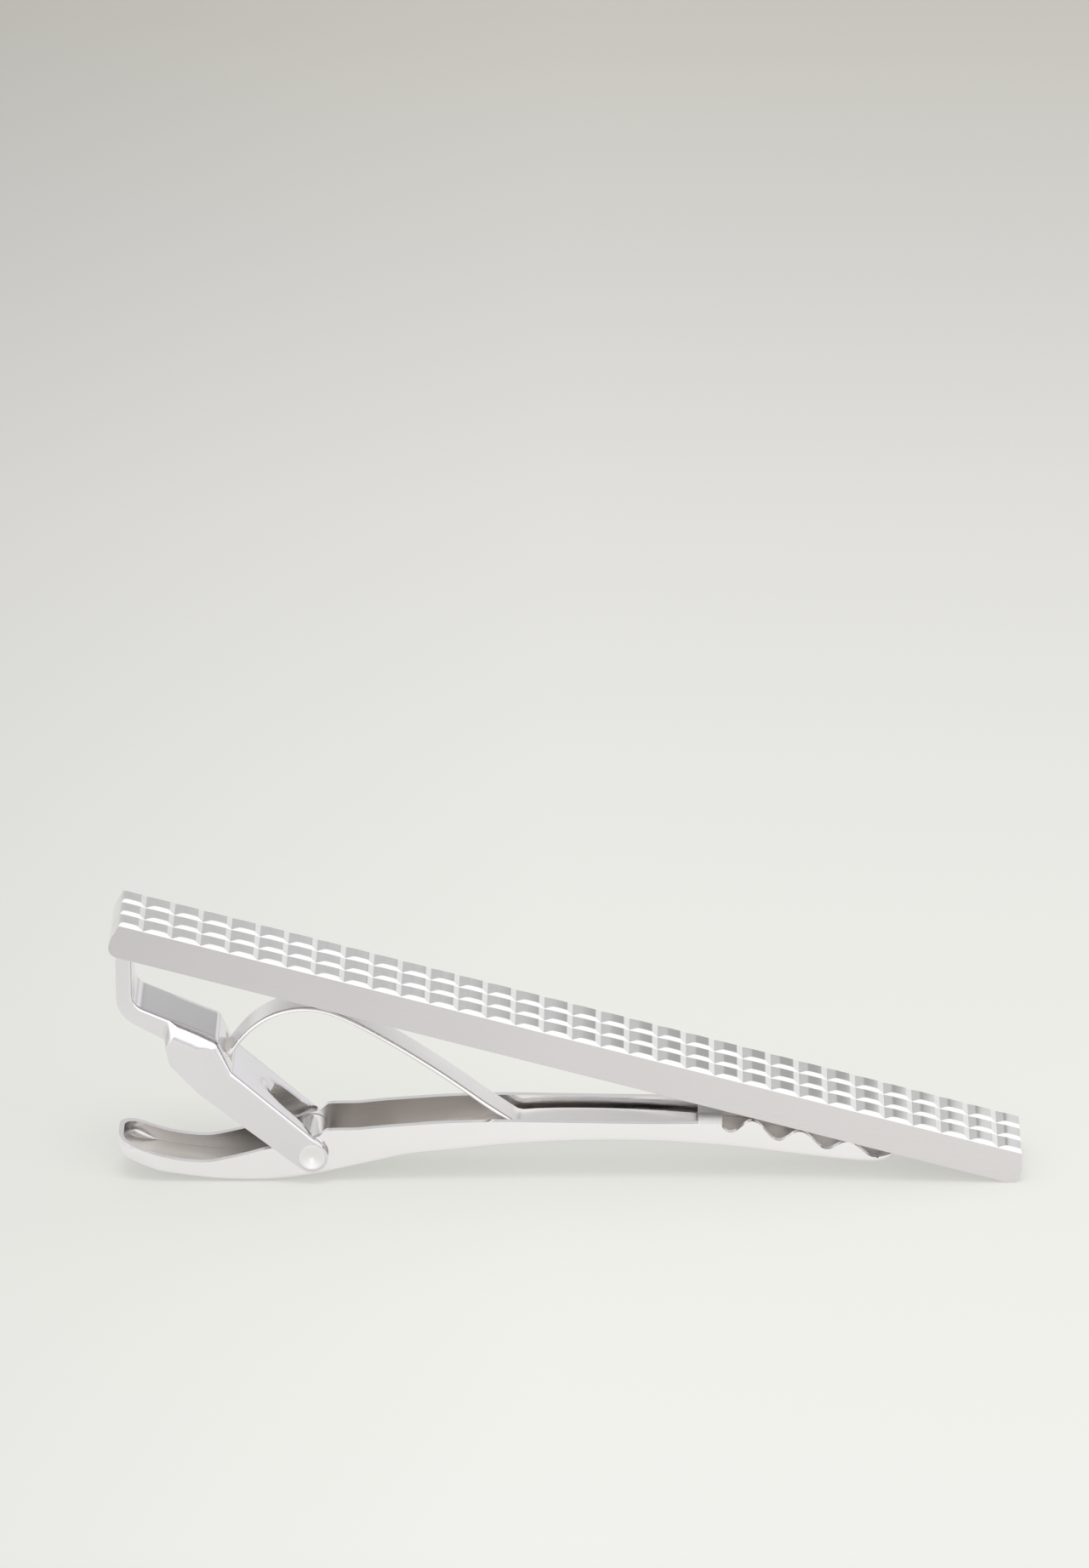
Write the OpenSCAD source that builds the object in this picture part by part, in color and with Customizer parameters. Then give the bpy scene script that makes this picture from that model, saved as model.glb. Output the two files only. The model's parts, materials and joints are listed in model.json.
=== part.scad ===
// Tie clip with a sprung alligator jaw under a grooved face bar, all sizes in millimetres.
// It stands as it lies on a table: on the belly of its jaw and on one lower corner of its bar.
// Every piece is drawn in the bar's own frame, x along the bar from its left end, y across it
// and z up from its underside, and is then turned and lifted as one into the resting pose.

/* [Face bar] */
// Length of the face bar
bar_l = 55; // [48:1:64]
// Width of the face bar
bar_w = 5.2; // [5.2:0.1:8]
// Height of the face bar up to the crown of its cells
bar_h = 2.17; // [1.8:0.01:3]
// Rise of each barrel-shaped cell above the cross grooves
crown_h = 0.15; // [0.05:0.01:0.25]
// Cells along the bar
columns = 32; // [16:1:44]
// Cells across the bar
rows = 3; // [2:1:5]
// Depth of the long V grooves below the crown
groove_d = 0.17; // [0.08:0.01:0.3]
// Half the width of a long V groove at the crown
groove_half_w = 0.32; // [0.1:0.01:0.4]
// Radius of the bar's two lower corners, seen from the side
bar_corner_r = 0.6; // [0.2:0.05:0.9]

/* [Bracket] */
// Thickness of the bracket's sheet
bracket_t = 0.36; // [0.25:0.01:0.45]
// Distance from the bar's end to the inner face of the post
post_x = 1.5; // [1.3:0.05:2.5]
// Lean of the post away from square to the bar, in degrees
post_lean = 15; // [0:1:25]
// Width of the post and of the first stretch of the shelf
post_w = 4.1; // [3.4:0.1:4.2]
// Depth of the flanges along the post
flange_d = 0.93; // [0.6:0.01:1.2]
// Depth of the flanges where they meet the ears
flange_end_d = 1.25; // [0.9:0.05:1.4]
// Drop from the bar's underside to the upper face of the shelf
shelf_drop = 2.94; // [2.6:0.01:3.4]
// Fall of the shelf along its length
shelf_fall = 0.81; // [0.3:0.01:1]
// Distance from the bar's end to the far edge of the shelf
shelf_end_x = 7.65; // [7:0.05:8.2]
// Distance from the bar's end to the step where the bracket widens into its ears
step_x = 4.65; // [4:0.05:5.4]
// Slope of the leg that runs down to the pin, in degrees
leg_slope = 26.5; // [20:0.5:32]
// Length of the leg from its upper bend to the pin
leg_l = 7.03; // [6:0.01:8]
// Radius of the round end of each ear
ear_r = 0.95; // [0.95:0.05:1.2]
// Width of the window in the leg
window_w = 2.4; // [1:0.1:2.6]

/* [Hinge] */
// Distance from the bar's end to the pin
pin_x = 14.8; // [13.5:0.1:16]
// Depth of the pin's axis below the bar's underside
pin_depth = 9.35; // [8.5:0.05:10.5]
// Radius of the hinge pin
pin_r = 0.8; // [0.5:0.05:0.85]
// Height of the shoulder on the pin's middle, which keeps the jaw's walls apart
shoulder_h = 0.1; // [0.05:0.01:0.12]
// Radial running clearance of the pin in the jaw
pin_clearance = 0.05; // [0.01:0.01:0.1]
// Clearance between an ear and the wall of the jaw beside it
side_clearance = 0.08; // [0.05:0.01:0.15]

/* [Jaw] */
// Width of the jaw over its two walls
jaw_w = 4.24; // [3.8:0.02:4.6]
// Thickness of the jaw's sheet
jaw_t = 0.42; // [0.3:0.01:0.5]
// Length of the thumb tail, from the pin to its tip
tail_l = 11.15; // [10:0.05:12.5]
// Length of the nose, from the pin to its tip
nose_l = 34; // [30:0.5:36]
// Depth of the belly below the pin's axis
belly_d = 1.72; // [1.6:0.01:2]
// Angle between the jaw and the bar with the clip closed, in degrees
closed_angle = 15.8; // [15:0.1:17]
// Number of notches between the teeth
notches = 4; // [2:1:5]
// Depth of the first notch, next to the tabs
first_notch_d = 1.05; // [0.4:0.05:1.1]
// Depth of the last notch, next to the tip
last_notch_d = 0.55; // [0.3:0.05:0.8]
// Gap under the bar at the first tooth
first_tooth_gap = 0.45; // [0.1:0.05:0.8]
// Gap under the bar at the tip of the nose
tip_gap = 0.08; // [0.05:0.01:0.3]
// Length of the two tabs folded over the end of the spring
tab_l = 1.4; // [0.8:0.1:2]
// Gap between the two folded tabs
tab_gap = 0.3; // [0.2:0.05:1]

/* [Leaf spring] */
// Width of the spring strip
spring_w = 2.3; // [1.6:0.1:3]
// Thickness of the spring strip
spring_t = 0.26; // [0.15:0.01:0.35]
// Rise of the arch above the straight line between its two ends
arch_rise = 4.07; // [3.5:0.01:4.4]

/* [Hidden] */
$fn = 64;

// Number of straight pieces in a quarter turn, in one barrel cell and between two curve points
turn_steps = 10;
cell_steps = 8;
curve_steps = 4;

// How far a cut runs past the faces that it opens
overrun = 1;
// Clearance that keeps the spring off the sheet it lies on
spring_clearance = 0.04;
// Thickness of the solder between the post and the bar
solder_t = 0.08;
// Radii of the bracket's three bends: under the post, at the shelf's far edge and above the leg
post_bend_r = 1;
shelf_bend_r = 0.5;
leg_bend_r = 0.6;
// Distance before the pin, along the leg, at which the leg's sheet stops between the ears
leg_stop = 0.9;
// Distance from the leg's upper bend to the window
window_start = 2.4;
// Half length of the slot that takes the spring's hooked end
hook_slot_half_l = 0.42;
// Radii of the plan corners at the tail and at the nose of the jaw
tail_corner_r = 1.5;
nose_corner_r = 0.9;
// Radius and depth of the cone sunk into each end of the pin
dimple_r = 0.68;
dimple_d = 0.34;

// Lower edge of an ear: its heel and its knee, as shares of the way from the step to the pin
// along x, and of the pin's depth
ear_heel_shares = [0.064, 0.62];
ear_knee_shares = [0.27, 0.765];
// Underside of the jaw: x as shares of the tail or of the nose, z as shares of the belly's depth
tail_bottom_shares = [[-0.996, 0.5], [-1, 0.16], [-0.973, -0.17], [-0.906, -0.42], [-0.82, -0.58],
    [-0.7, -0.74], [-0.52, -0.91], [-0.343, -1], [-0.164, -0.96], [0, -0.8]];
nose_bottom_shares = [[0.049, -0.57], [0.093, -0.35], [0.167, -0.04], [0.245, 0.26],
    [0.324, 0.45], [0.44, 0.56], [0.56, 0.52], [0.677, 0.36], [0.782, 0.12], [0.886, -0.15],
    [0.955, -0.35], [0.981, -0.36], [0.996, -0.21], [1, -0.06]];
// Rim of the jaw's walls up to the tabs, in the same shares
tail_rim_shares = [[-0.988, 0.54], [-0.93, 0.38], [-0.876, 0.2], [-0.765, -0.06], [-0.655, -0.21],
    [-0.543, -0.26], [-0.453, -0.16], [-0.34, 0.02], [-0.219, 0.24], [-0.1, 0.38],
    [-0.065, 0.41], [-0.036, 0.53], [0, 0.59]];
nose_rim_shares = [[0.014, 0.78], [0.028, 0.9], [0.05, 0.91], [0.08, 0.92], [0.12, 1],
    [0.167, 1.07], [0.24, 1.16], [0.324, 1.19], [0.441, 1.14], [0.559, 1.09], [0.66, 1.08],
    [0.706, 1.06]];
// Start of the tabs and of the first notch's middle, as shares of the nose
tab_start_share = 0.665;
first_notch_share = 0.725;
// Share of a tooth that the tip of the nose cuts off after the last notch
nose_notch_share = 0.5;
// Middle line of the spring's arch, as shares of its span from the hooked end and of its rise
arch_shares = [[0, 0], [0.022, 0.276], [0.057, 0.56], [0.106, 0.786], [0.172, 0.942], [0.248, 1],
    [0.33, 0.953], [0.44, 0.819], [0.56, 0.665], [0.68, 0.502], [0.79, 0.335], [0.87, 0.201],
    [0.935, 0.099], [0.972, 0.036]];
// Thickness of the jaw's two upturned ends, as a share of the sheet
end_wall_share = 1.2;
// Where the spring lands in the jaw, as a share of the nose
landing_share = 0.385;
// How much of the tabs' length the spring reaches under
spring_under_tab_share = 0.9;
// Where the spring hooks into the bracket, as a share of the drop between its two upper bends,
// and how far its middle line stands above the drop there
hook_share = 0.72;
hook_sink = 0.12;
// Points along the flat stretch of the spring
flat_steps = 12;

// Heights and places worked out from the sizes above
pitch = bar_l/columns;
groove_z = bar_h - crown_h;
ear_gap_w = jaw_w + 2*side_clearance;
ear_w = ear_gap_w + 2*bracket_t;
pin = [pin_x, -pin_depth];
leg_dir = [cos(leg_slope), -sin(leg_slope)];
leg_up = [sin(leg_slope), cos(leg_slope)];
leg_touch = pin + ear_r*leg_up;
leg_top = leg_touch - leg_l*leg_dir;
shelf_end = [shelf_end_x, -shelf_drop - shelf_fall];
shelf_start = [post_x + shelf_drop*tan(post_lean), -shelf_drop];
post_top = [post_x - overrun*tan(post_lean), overrun];
step_z = shelf_start[1] + (shelf_end[1] - shelf_start[1])
    *(step_x - shelf_start[0])/(shelf_end[0] - shelf_start[0]);
step_top = [step_x, step_z];

// Unit vector along a run, and the same turned left
function unit(v) = v/norm(v);
function left(v) = [-v[1], v[0]];

// Points of an arc
function arc(c, r, from, to, steps) =
    [for (i = [0:steps]) c + r*[cos(from + (to - from)*i/steps), sin(from + (to - from)*i/steps)]];

// A corner at b between a and c, rounded to radius r
function bend(a, b, c, r) =
    let (u = unit(b - a), v = unit(c - b), turn = atan2(u[0]*v[1] - u[1]*v[0], u*v),
        reach = r*tan(abs(turn)/2), side = turn > 0 ? 1 : -1,
        centre = b - reach*u + side*r*left(u), from = atan2(-side*left(u)[1], -side*left(u)[0]))
    arc(centre, r, from, from + turn, turn_steps);

// A path with every inner corner rounded to its own radius
function bent_path(points, radii) =
    concat([points[0]],
        [for (i = [1:len(points) - 2]) each bend(points[i - 1], points[i], points[i + 1], radii[i - 1])],
        [points[len(points) - 1]]);

// A path moved sideways to its left by d, mitred at every point
function moved(path, d) =
    [for (i = [0:len(path) - 1])
        let (a = path[max(i - 1, 0)], b = path[i], c = path[min(i + 1, len(path) - 1)],
            u = i == 0 ? unit(c - b) : unit(b - a), v = i == len(path) - 1 ? u : unit(c - b),
            m = unit(left(u) + left(v)))
        b + d*m/(m*left(u))];

// A smooth curve through its points
function curve(points) =
    concat([for (i = [0:len(points) - 2])
        let (a = points[max(i - 1, 0)], b = points[i], c = points[i + 1],
            d = points[min(i + 2, len(points) - 1)])
        for (s = [0:curve_steps - 1])
            let (t = s/curve_steps)
            0.5*(2*b + (c - a)*t + (2*a - 5*b + 4*c - d)*t*t + (3*b - a - 3*c + d)*t*t*t)],
        [points[len(points) - 1]]);

function backwards(list) = [for (i = [len(list) - 1:-1:0]) list[i]];

// An outline in x and z, made a slab across the bar
module slab(outline, width) {
    rotate([90, 0, 0])
        linear_extrude(height = width, center = true)
            polygon(outline);
}

// A cylinder across the bar
module across(r, width) {
    rotate([90, 0, 0])
        cylinder(r = r, h = width, center = true);
}

module across_pin(r, width) {
    translate([pin[0], 0, pin[1]])
        across(r, width);
}

// What its children have beyond a place along the bar
module beyond(x) {
    intersection() {
        children();
        translate([x, -bar_w, -3*pin_depth])
            cube([2*bar_l, 2*bar_w, 4*pin_depth]);
    }
}

// Face bar: a solid bar with barrel cells on top, cut by long V grooves and by edge bevels
bar_outline = concat(
    arc([bar_corner_r, bar_corner_r], bar_corner_r, 180, 270, turn_steps),
    arc([bar_l - bar_corner_r, bar_corner_r], bar_corner_r, 270, 360, turn_steps),
    [for (c = [columns - 1:-1:0], s = [cell_steps:-1:1])
        [pitch*(c + s/cell_steps), groove_z + crown_h*(1 - pow(2*s/cell_steps - 1, 2))]],
    [[0, groove_z]]);

module long_groove(y) {
    top_half_w = groove_half_w*(groove_d + overrun)/groove_d;
    translate([-overrun, y, 0])
        rotate([90, 0, 90])
            linear_extrude(height = bar_l + 2*overrun)
                polygon([[0, bar_h - groove_d], [top_half_w, bar_h + overrun],
                    [-top_half_w, bar_h + overrun]]);
}

module face_bar_shape() {
    difference() {
        slab(bar_outline, bar_w);
        for (row = [0:rows])
            long_groove(bar_w*(row/rows - 0.5));
    }
}

// Bracket: one stamped sheet, its web on the inside of the bend and its flanges outside
web_path = bent_path([post_top, shelf_start, shelf_end, leg_top, leg_touch - leg_stop*leg_dir],
    [post_bend_r, shelf_bend_r, leg_bend_r]);
web_end = web_path[len(web_path) - 1];
flange_line = moved([post_top, shelf_start, shelf_end], -flange_d);
step_bottom = step_top - [0, flange_end_d];
ear_heel = [step_x + (pin_x - step_x)*ear_heel_shares[0], -pin_depth*ear_heel_shares[1]];
ear_knee = [step_x + (pin_x - step_x)*ear_knee_shares[0], -pin_depth*ear_knee_shares[1]];
knee_to_pin = pin - ear_knee;
under_angle = atan2(knee_to_pin[1], knee_to_pin[0]) - asin(ear_r/norm(knee_to_pin));
ear_under = pin + ear_r*[sin(under_angle), -cos(under_angle)];

// The whole bracket seen from the side: along its web, round the ear and back under it
bracket_outline = concat(
    [for (p = web_path) if (p[0] < leg_top[0] + leg_bend_r) p],
    arc(pin, ear_r, 90 - leg_slope, under_angle - 90, 2*turn_steps),
    backwards(bent_path([flange_line[0], flange_line[1], step_bottom, ear_heel, ear_knee, ear_under],
        [post_bend_r + flange_d, bracket_t, ear_r, ear_r])));

// Everything under the web, between the flanges and between the ears
under_web_outline = concat(moved(web_path, -bracket_t),
    [web_end + overrun*leg_up, [bar_l, web_end[1] + overrun], [bar_l, -2*pin_depth],
    [-overrun, -2*pin_depth], [-overrun, 2*overrun], moved(web_path, -bracket_t)[0] + [0, overrun]]);

// The folded sheet before it is pierced, its post still running up past the bar's underside
module folded_sheet() {
    difference() {
        union() {
            slab(bracket_outline, post_w);
            beyond(step_x)
                slab(bracket_outline, ear_w);
        }
        slab(under_web_outline, post_w - 2*bracket_t);
        beyond(step_x + bracket_t)
            slab(under_web_outline, ear_gap_w);
    }
}

module window_and_slot_cuts() {
    hook_turn = atan2(shelf_end[1] - leg_top[1], leg_top[0] - shelf_end[0]);
    translate([hook[0], 0, hook[1]])
        rotate([0, hook_turn, 0])
            translate([-hook_slot_half_l, -spring_w/2 - 2*side_clearance, -overrun])
                cube([2*hook_slot_half_l, spring_w + 4*side_clearance, 2*overrun]);
    translate([leg_top[0], 0, leg_top[1]])
        rotate([0, leg_slope, 0])
            translate([window_start, -window_w/2, -overrun])
                cube([leg_l, window_w, 2*overrun]);
}

module bracket_shape() {
    difference() {
        folded_sheet();
        window_and_slot_cuts();
        across_pin(pin_r, ear_w + overrun);
        translate([-overrun, -bar_w, -solder_t])
            cube([2*bar_l, 2*bar_w, 3*overrun]);
    }
}

module solder_seam_shape() {
    intersection() {
        folded_sheet();
        translate([0, -bar_w/2, -solder_t])
            cube([step_x, bar_w, solder_t]);
    }
}

// Hinge pin: flush with the ears, thicker between the jaw's walls, a cone sunk into each end
shoulder_r = pin_r + shoulder_h;
jaw_inner_w = jaw_w - 2*jaw_t;

module hinge_pin_shape() {
    difference() {
        union() {
            across_pin(pin_r, ear_w);
            across_pin(shoulder_r, jaw_inner_w - 2*side_clearance);
        }
        for (side = [-1, 1])
            translate([pin[0], side*(ear_w/2 - dimple_d), pin[1]])
                rotate([-side*90, 0, 0])
                    cylinder(r1 = 0, r2 = dimple_r*(dimple_d + pin_clearance)/dimple_d,
                        h = dimple_d + pin_clearance);
    }
}

// Jaw: a channel of sheet in its own frame, x along it from the pin and z up from the pin
// The nose leans as it has to for its tip to meet the bar at the closed angle
function under_bar(x, gap) = (pin_depth - gap - x*sin(closed_angle))/cos(closed_angle);
nose_lean = under_bar(nose_l, tip_gap);
function tail_curve(shares) = [for (s = shares) [s[0]*tail_l, s[1]*belly_d]];
function nose_curve(shares) = [for (s = shares) [s[0]*nose_l, s[1]*belly_d + s[0]*nose_lean]];
jaw_bottom = curve(concat(tail_curve(tail_bottom_shares), nose_curve(nose_bottom_shares)));
plain_rim = curve(concat(tail_curve(tail_rim_shares), nose_curve(nose_rim_shares)));
tab_x = nose_l*tab_start_share;
teeth_x = nose_l*first_notch_share;
teeth_start = tab_x + tab_l;
function along_teeth(x) = (x - teeth_x)/(nose_l - teeth_x);
function crest(x) = under_bar(x, first_tooth_gap + (tip_gap - first_tooth_gap)*along_teeth(x));
function notch_d(x) = first_notch_d + (last_notch_d - first_notch_d)*along_teeth(x);
tooth_pitch = (nose_l - teeth_x)/(notches - nose_notch_share);
teeth_rim = [for (i = [0:notches*turn_steps])
    let (x = teeth_start + (nose_l - teeth_start)*i/(notches*turn_steps))
    [x, crest(x) - notch_d(x)*(1 + cos(360*(x - teeth_x)/tooth_pitch))/2]];
rim = concat([for (p = plain_rim) if (p[0] < teeth_start) p], teeth_rim);
floor_line = [for (p = moved(jaw_bottom, jaw_t))
    if (p[0] > end_wall_share*jaw_t - tail_l && p[0] < nose_l - end_wall_share*jaw_t) p];
floor_table = [for (p = floor_line) if (p[0] > 0) p];

// The jaw's outline seen from above, drawn in by an inset, as a tall prism
module plan_prism(inset) {
    tail_r = tail_corner_r - inset;
    nose_r = nose_corner_r - inset;
    half_w = jaw_w/2 - inset;
    tail_x = inset - tail_l;
    nose_x = nose_l - inset;
    translate([0, 0, -pin_depth])
        linear_extrude(height = 2*pin_depth)
            polygon(concat(
                arc([tail_x + tail_r, half_w - tail_r], tail_r, 90, 180, turn_steps),
                arc([tail_x + tail_r, tail_r - half_w], tail_r, 180, 270, turn_steps),
                arc([nose_x - nose_r, nose_r - half_w], nose_r, 270, 360, turn_steps),
                arc([nose_x - nose_r, half_w - nose_r], nose_r, 0, 90, turn_steps)));
}

module jaw_tabs() {
    tab_z = lookup(tab_x, floor_table) + spring_t + 2*spring_clearance;
    for (side = [0, 1])
        mirror([0, side, 0])
            translate([tab_x, tab_gap/2, tab_z])
                cube([tab_l, jaw_w/2 - jaw_t/2 - tab_gap/2, jaw_t]);
}

module jaw_shape() {
    difference() {
        intersection() {
            slab(concat(jaw_bottom, backwards(rim)), jaw_w);
            plan_prism(0);
        }
        intersection() {
            slab(concat([[floor_line[0][0], pin_depth]], floor_line,
                [[floor_line[len(floor_line) - 1][0], pin_depth]]), jaw_inner_w);
            plan_prism(jaw_t);
        }
        across(pin_r + pin_clearance, jaw_w + overrun);
        across(shoulder_r + pin_clearance, jaw_inner_w);
    }
    jaw_tabs();
}

// From the jaw's frame into the bar's frame, for a point and for a solid
function on_bar(p) = pin + [p[0]*cos(closed_angle) - p[1]*sin(closed_angle),
    p[0]*sin(closed_angle) + p[1]*cos(closed_angle)];

module closed() {
    translate([pin[0], 0, pin[1]])
        rotate([0, -closed_angle, 0])
            children();
}

// Leaf spring: hooked into the bracket, arched under the bar, flat in the jaw
hook = shelf_end + (leg_top - shelf_end)*hook_share
    + hook_sink*left(unit(shelf_end - leg_top));
function in_jaw(x) = on_bar([x, lookup(x, floor_table) + spring_clearance + spring_t/2]);
landing = in_jaw(nose_l*landing_share);
spring_end_x = tab_x + tab_l*spring_under_tab_share;
spring_line = curve(concat(
    [for (s = arch_shares) hook + s[0]*(landing - hook) + [0, s[1]*arch_rise]],
    [for (i = [0:flat_steps])
        in_jaw(nose_l*landing_share + (spring_end_x - nose_l*landing_share)*i/flat_steps)]));

module leaf_spring_shape() {
    slab(concat(moved(spring_line, spring_t/2), backwards(moved(spring_line, -spring_t/2))),
        spring_w);
}

// Resting pose: the floor touches the jaw's underside and rounds the bar's lower right corner
corner = [bar_l - bar_corner_r, bar_corner_r];
jaw_on_bar = [for (p = jaw_bottom) on_bar(p)];
tilt = max([for (p = jaw_on_bar)
    atan2(corner[1] - p[1], corner[0] - p[0]) - asin(bar_corner_r/norm(corner - p))]);
function world_x(p) = p[0]*cos(tilt) + p[1]*sin(tilt);
lift = corner[0]*sin(tilt) - corner[1]*cos(tilt) + bar_corner_r;
low_x = min(concat([for (p = jaw_on_bar) world_x(p)],
    [world_x([bar_corner_r, bar_corner_r]) - bar_corner_r]));
high_x = world_x([bar_l, groove_z]);

module resting() {
    translate([-(low_x + high_x)/2, 0, lift])
        rotate([0, tilt, 0])
            children();
}

module face_bar() { color("silver") resting() face_bar_shape(); }
module bracket() { color("gainsboro") resting() bracket_shape(); }
module hinge_pin() { color("lightgray") resting() hinge_pin_shape(); }
module jaw_lever() { color("silver") resting() closed() jaw_shape(); }
module leaf_spring() { color("lightslategray") resting() leaf_spring_shape(); }
module solder_seam() { color("dimgray") resting() solder_seam_shape(); }

face_bar();
bracket();
hinge_pin();
jaw_lever();
leaf_spring();
solder_seam();
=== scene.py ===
# %% [markdown]
# A sprung tie clip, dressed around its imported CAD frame.
# The CAD holds the sizes and the hinge. This lesson gives every piece its bends, rims and
# polish, and sets up a small studio around it. Each cell can be read by itself.

# %% Load the frame
import json
import math

import bmesh
import bpy
from mathutils import Matrix, Vector

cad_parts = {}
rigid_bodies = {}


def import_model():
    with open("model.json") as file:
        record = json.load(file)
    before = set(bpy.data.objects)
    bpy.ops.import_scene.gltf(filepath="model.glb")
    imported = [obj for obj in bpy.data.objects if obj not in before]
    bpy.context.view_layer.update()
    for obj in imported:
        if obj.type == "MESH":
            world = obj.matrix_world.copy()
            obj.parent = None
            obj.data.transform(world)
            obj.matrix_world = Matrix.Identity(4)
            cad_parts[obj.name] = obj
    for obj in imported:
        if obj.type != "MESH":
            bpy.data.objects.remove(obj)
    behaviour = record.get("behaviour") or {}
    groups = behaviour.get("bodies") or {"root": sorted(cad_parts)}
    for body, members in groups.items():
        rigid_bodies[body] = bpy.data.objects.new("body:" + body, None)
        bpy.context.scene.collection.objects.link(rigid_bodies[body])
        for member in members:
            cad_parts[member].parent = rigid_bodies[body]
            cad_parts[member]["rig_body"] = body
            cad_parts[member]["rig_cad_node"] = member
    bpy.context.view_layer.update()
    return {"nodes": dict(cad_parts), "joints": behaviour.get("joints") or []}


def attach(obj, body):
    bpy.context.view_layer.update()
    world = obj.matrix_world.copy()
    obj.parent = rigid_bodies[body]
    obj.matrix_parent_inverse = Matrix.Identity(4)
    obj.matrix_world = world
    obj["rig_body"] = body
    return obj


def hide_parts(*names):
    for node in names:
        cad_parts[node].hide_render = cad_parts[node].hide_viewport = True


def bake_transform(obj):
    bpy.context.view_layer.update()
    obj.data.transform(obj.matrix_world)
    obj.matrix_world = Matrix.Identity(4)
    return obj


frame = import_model()
pin_place = Vector(frame["joints"][0]["pos_m"])

# %% [markdown]
# The clip lies aslant on the table, but its bar is straight, so every piece is drawn in the
# bar's own frame: x along the bar from its left end, y across it and z up from its underside,
# in millimetres. The tilt is measured on the CAD bar's underside. The pin, which the hinge
# gives in the table's frame, ties the two frames together.

# %% The bar's own frame
MM = 0.001
PIN_X = 14.8
PIN_DEPTH = 9.35
underside = max((face for face in frame["nodes"]["face_bar"].data.polygons if face.normal.z < -0.9),
                key=lambda face: face.area)
tilt = math.atan2(-underside.normal.x, -underside.normal.z)
turn_to_table = Matrix.Rotation(tilt, 4, "Y")
pin_in_bar = Vector((PIN_X*MM, 0, -PIN_DEPTH*MM))
BAR_SEAT = Matrix.Translation(pin_place - turn_to_table @ pin_in_bar) @ turn_to_table
print("The bar is tilted by", round(math.degrees(tilt), 3), "degrees")

# %% [markdown]
# The camera is a long lens, looking down at the clip by about 23 degrees. Its place was found
# by fitting the bar's long edges and its grid of cells, so only these few numbers are needed.
# The lens is given by its focal length as a share of the picture's height.

# %% The camera
ELEVATION = math.radians(22.598)
AZIMUTH = math.radians(-0.828)
ROLL = math.radians(-0.549)
DISTANCE = 0.58788
AIM = Vector((-0.001276, -0.0026, 0.025385))
FOCAL_SHARE = 12000/1843
SENSOR = 36
forward = Vector((math.sin(AZIMUTH)*math.cos(ELEVATION), math.cos(AZIMUTH)*math.cos(ELEVATION),
                  -math.sin(ELEVATION)))
level_right = Vector((math.cos(AZIMUTH), -math.sin(AZIMUTH), 0))
level_up = level_right.cross(forward)
rolled_right = math.cos(ROLL)*level_right + math.sin(ROLL)*level_up
rolled_up = math.cos(ROLL)*level_up - math.sin(ROLL)*level_right
bpy.ops.object.camera_add()
camera = bpy.context.object
camera.name = "camera"
camera.data.sensor_fit = "VERTICAL"
camera.data.sensor_height = SENSOR
camera.data.sensor_width = SENSOR
camera.data.lens = SENSOR*FOCAL_SHARE
camera.data.clip_start = 0.05
camera.data.clip_end = 20
facing = Matrix((rolled_right, rolled_up, -forward)).transposed().to_4x4()
camera.matrix_world = Matrix.Translation(AIM - forward*DISTANCE) @ facing
bpy.context.scene.camera = camera
print("Camera at", [round(c, 3) for c in camera.location])

# %% [markdown]
# Polished metal has almost no colour of its own: it shows the room. So the room comes before
# the finishes. The table is a wide pale sheet whose colour is painted darker towards the back,
# the front and the left, as light falls off on a lit sweep. The metal's sides mirror the part
# of it in front. Its painted tones are a colour ramp from back to front, times a second one from
# left to right. Half of each tone is a glow, a painted light, which keeps the shadows as faint
# as in a room full of pale walls.

# %% The table's tones
TONES_BACK_TO_FRONT = ((0.215, (0.578, 0.565, 0.515)), (0.159, (0.658, 0.651, 0.624)),
                       (0.107, (0.753, 0.745, 0.716)), (0.061, (0.799, 0.799, 0.768)),
                       (0.021, (0.835, 0.835, 0.799)), (-0.015, (0.855, 0.855, 0.815)),
                       (-0.05, (0.863, 0.863, 0.831)), (-0.07, (0.78, 0.778, 0.755)),
                       (-0.09, (0.7, 0.698, 0.68)), (-0.2, (0.62, 0.618, 0.605)))
TONES_LEFT_TO_RIGHT = ((-0.06, (0.8, 0.8, 0.81)), (-0.045, (0.88, 0.88, 0.89)),
                       (-0.02, (0.96, 0.96, 0.96)), (-0.002, (1, 1, 1)), (0.06, (0.99, 0.99, 0.99)))
DEPTH_REACH, SIDE_REACH = 0.25, 0.06


def feed(tree, value, socket):
    """Links another node's output to an input, or sets the input to a plain value."""
    if isinstance(value, bpy.types.NodeSocket):
        tree.links.new(value, socket)
    else:
        socket.default_value = value


def mix_of(tree, factor, a, b, blend="MIX"):
    """Two colours mixed by a factor. Each of the three is an output or a plain value."""
    mix = tree.nodes.new("ShaderNodeMix")
    mix.data_type = "RGBA"
    mix.blend_type = blend
    for label, value in (("Factor", factor), ("A", a), ("B", b)):
        feed(tree, value, mix.inputs[label])
    return mix.outputs["Result"]


def ramp_along(tree, source, socket, low, high, tones):
    """A colour ramp over one axis of a coordinate, from low to high. Returns its colour."""
    split = tree.nodes.new("ShaderNodeSeparateXYZ")
    tree.links.new(source, split.inputs[0])
    span = tree.nodes.new("ShaderNodeMapRange")
    span.inputs["From Min"].default_value = low
    span.inputs["From Max"].default_value = high
    tree.links.new(split.outputs[socket], span.inputs["Value"])
    ramp = tree.nodes.new("ShaderNodeValToRGB")
    tree.links.new(span.outputs["Result"], ramp.inputs[0])
    marks = ramp.color_ramp.elements
    while len(marks) < len(tones):
        marks.new(0.5)
    for mark, (at, tone) in zip(marks, sorted(tones)):
        mark.position = (at - low)/(high - low)
        mark.color = (*tone, 1)
    return ramp.outputs["Color"]


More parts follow.
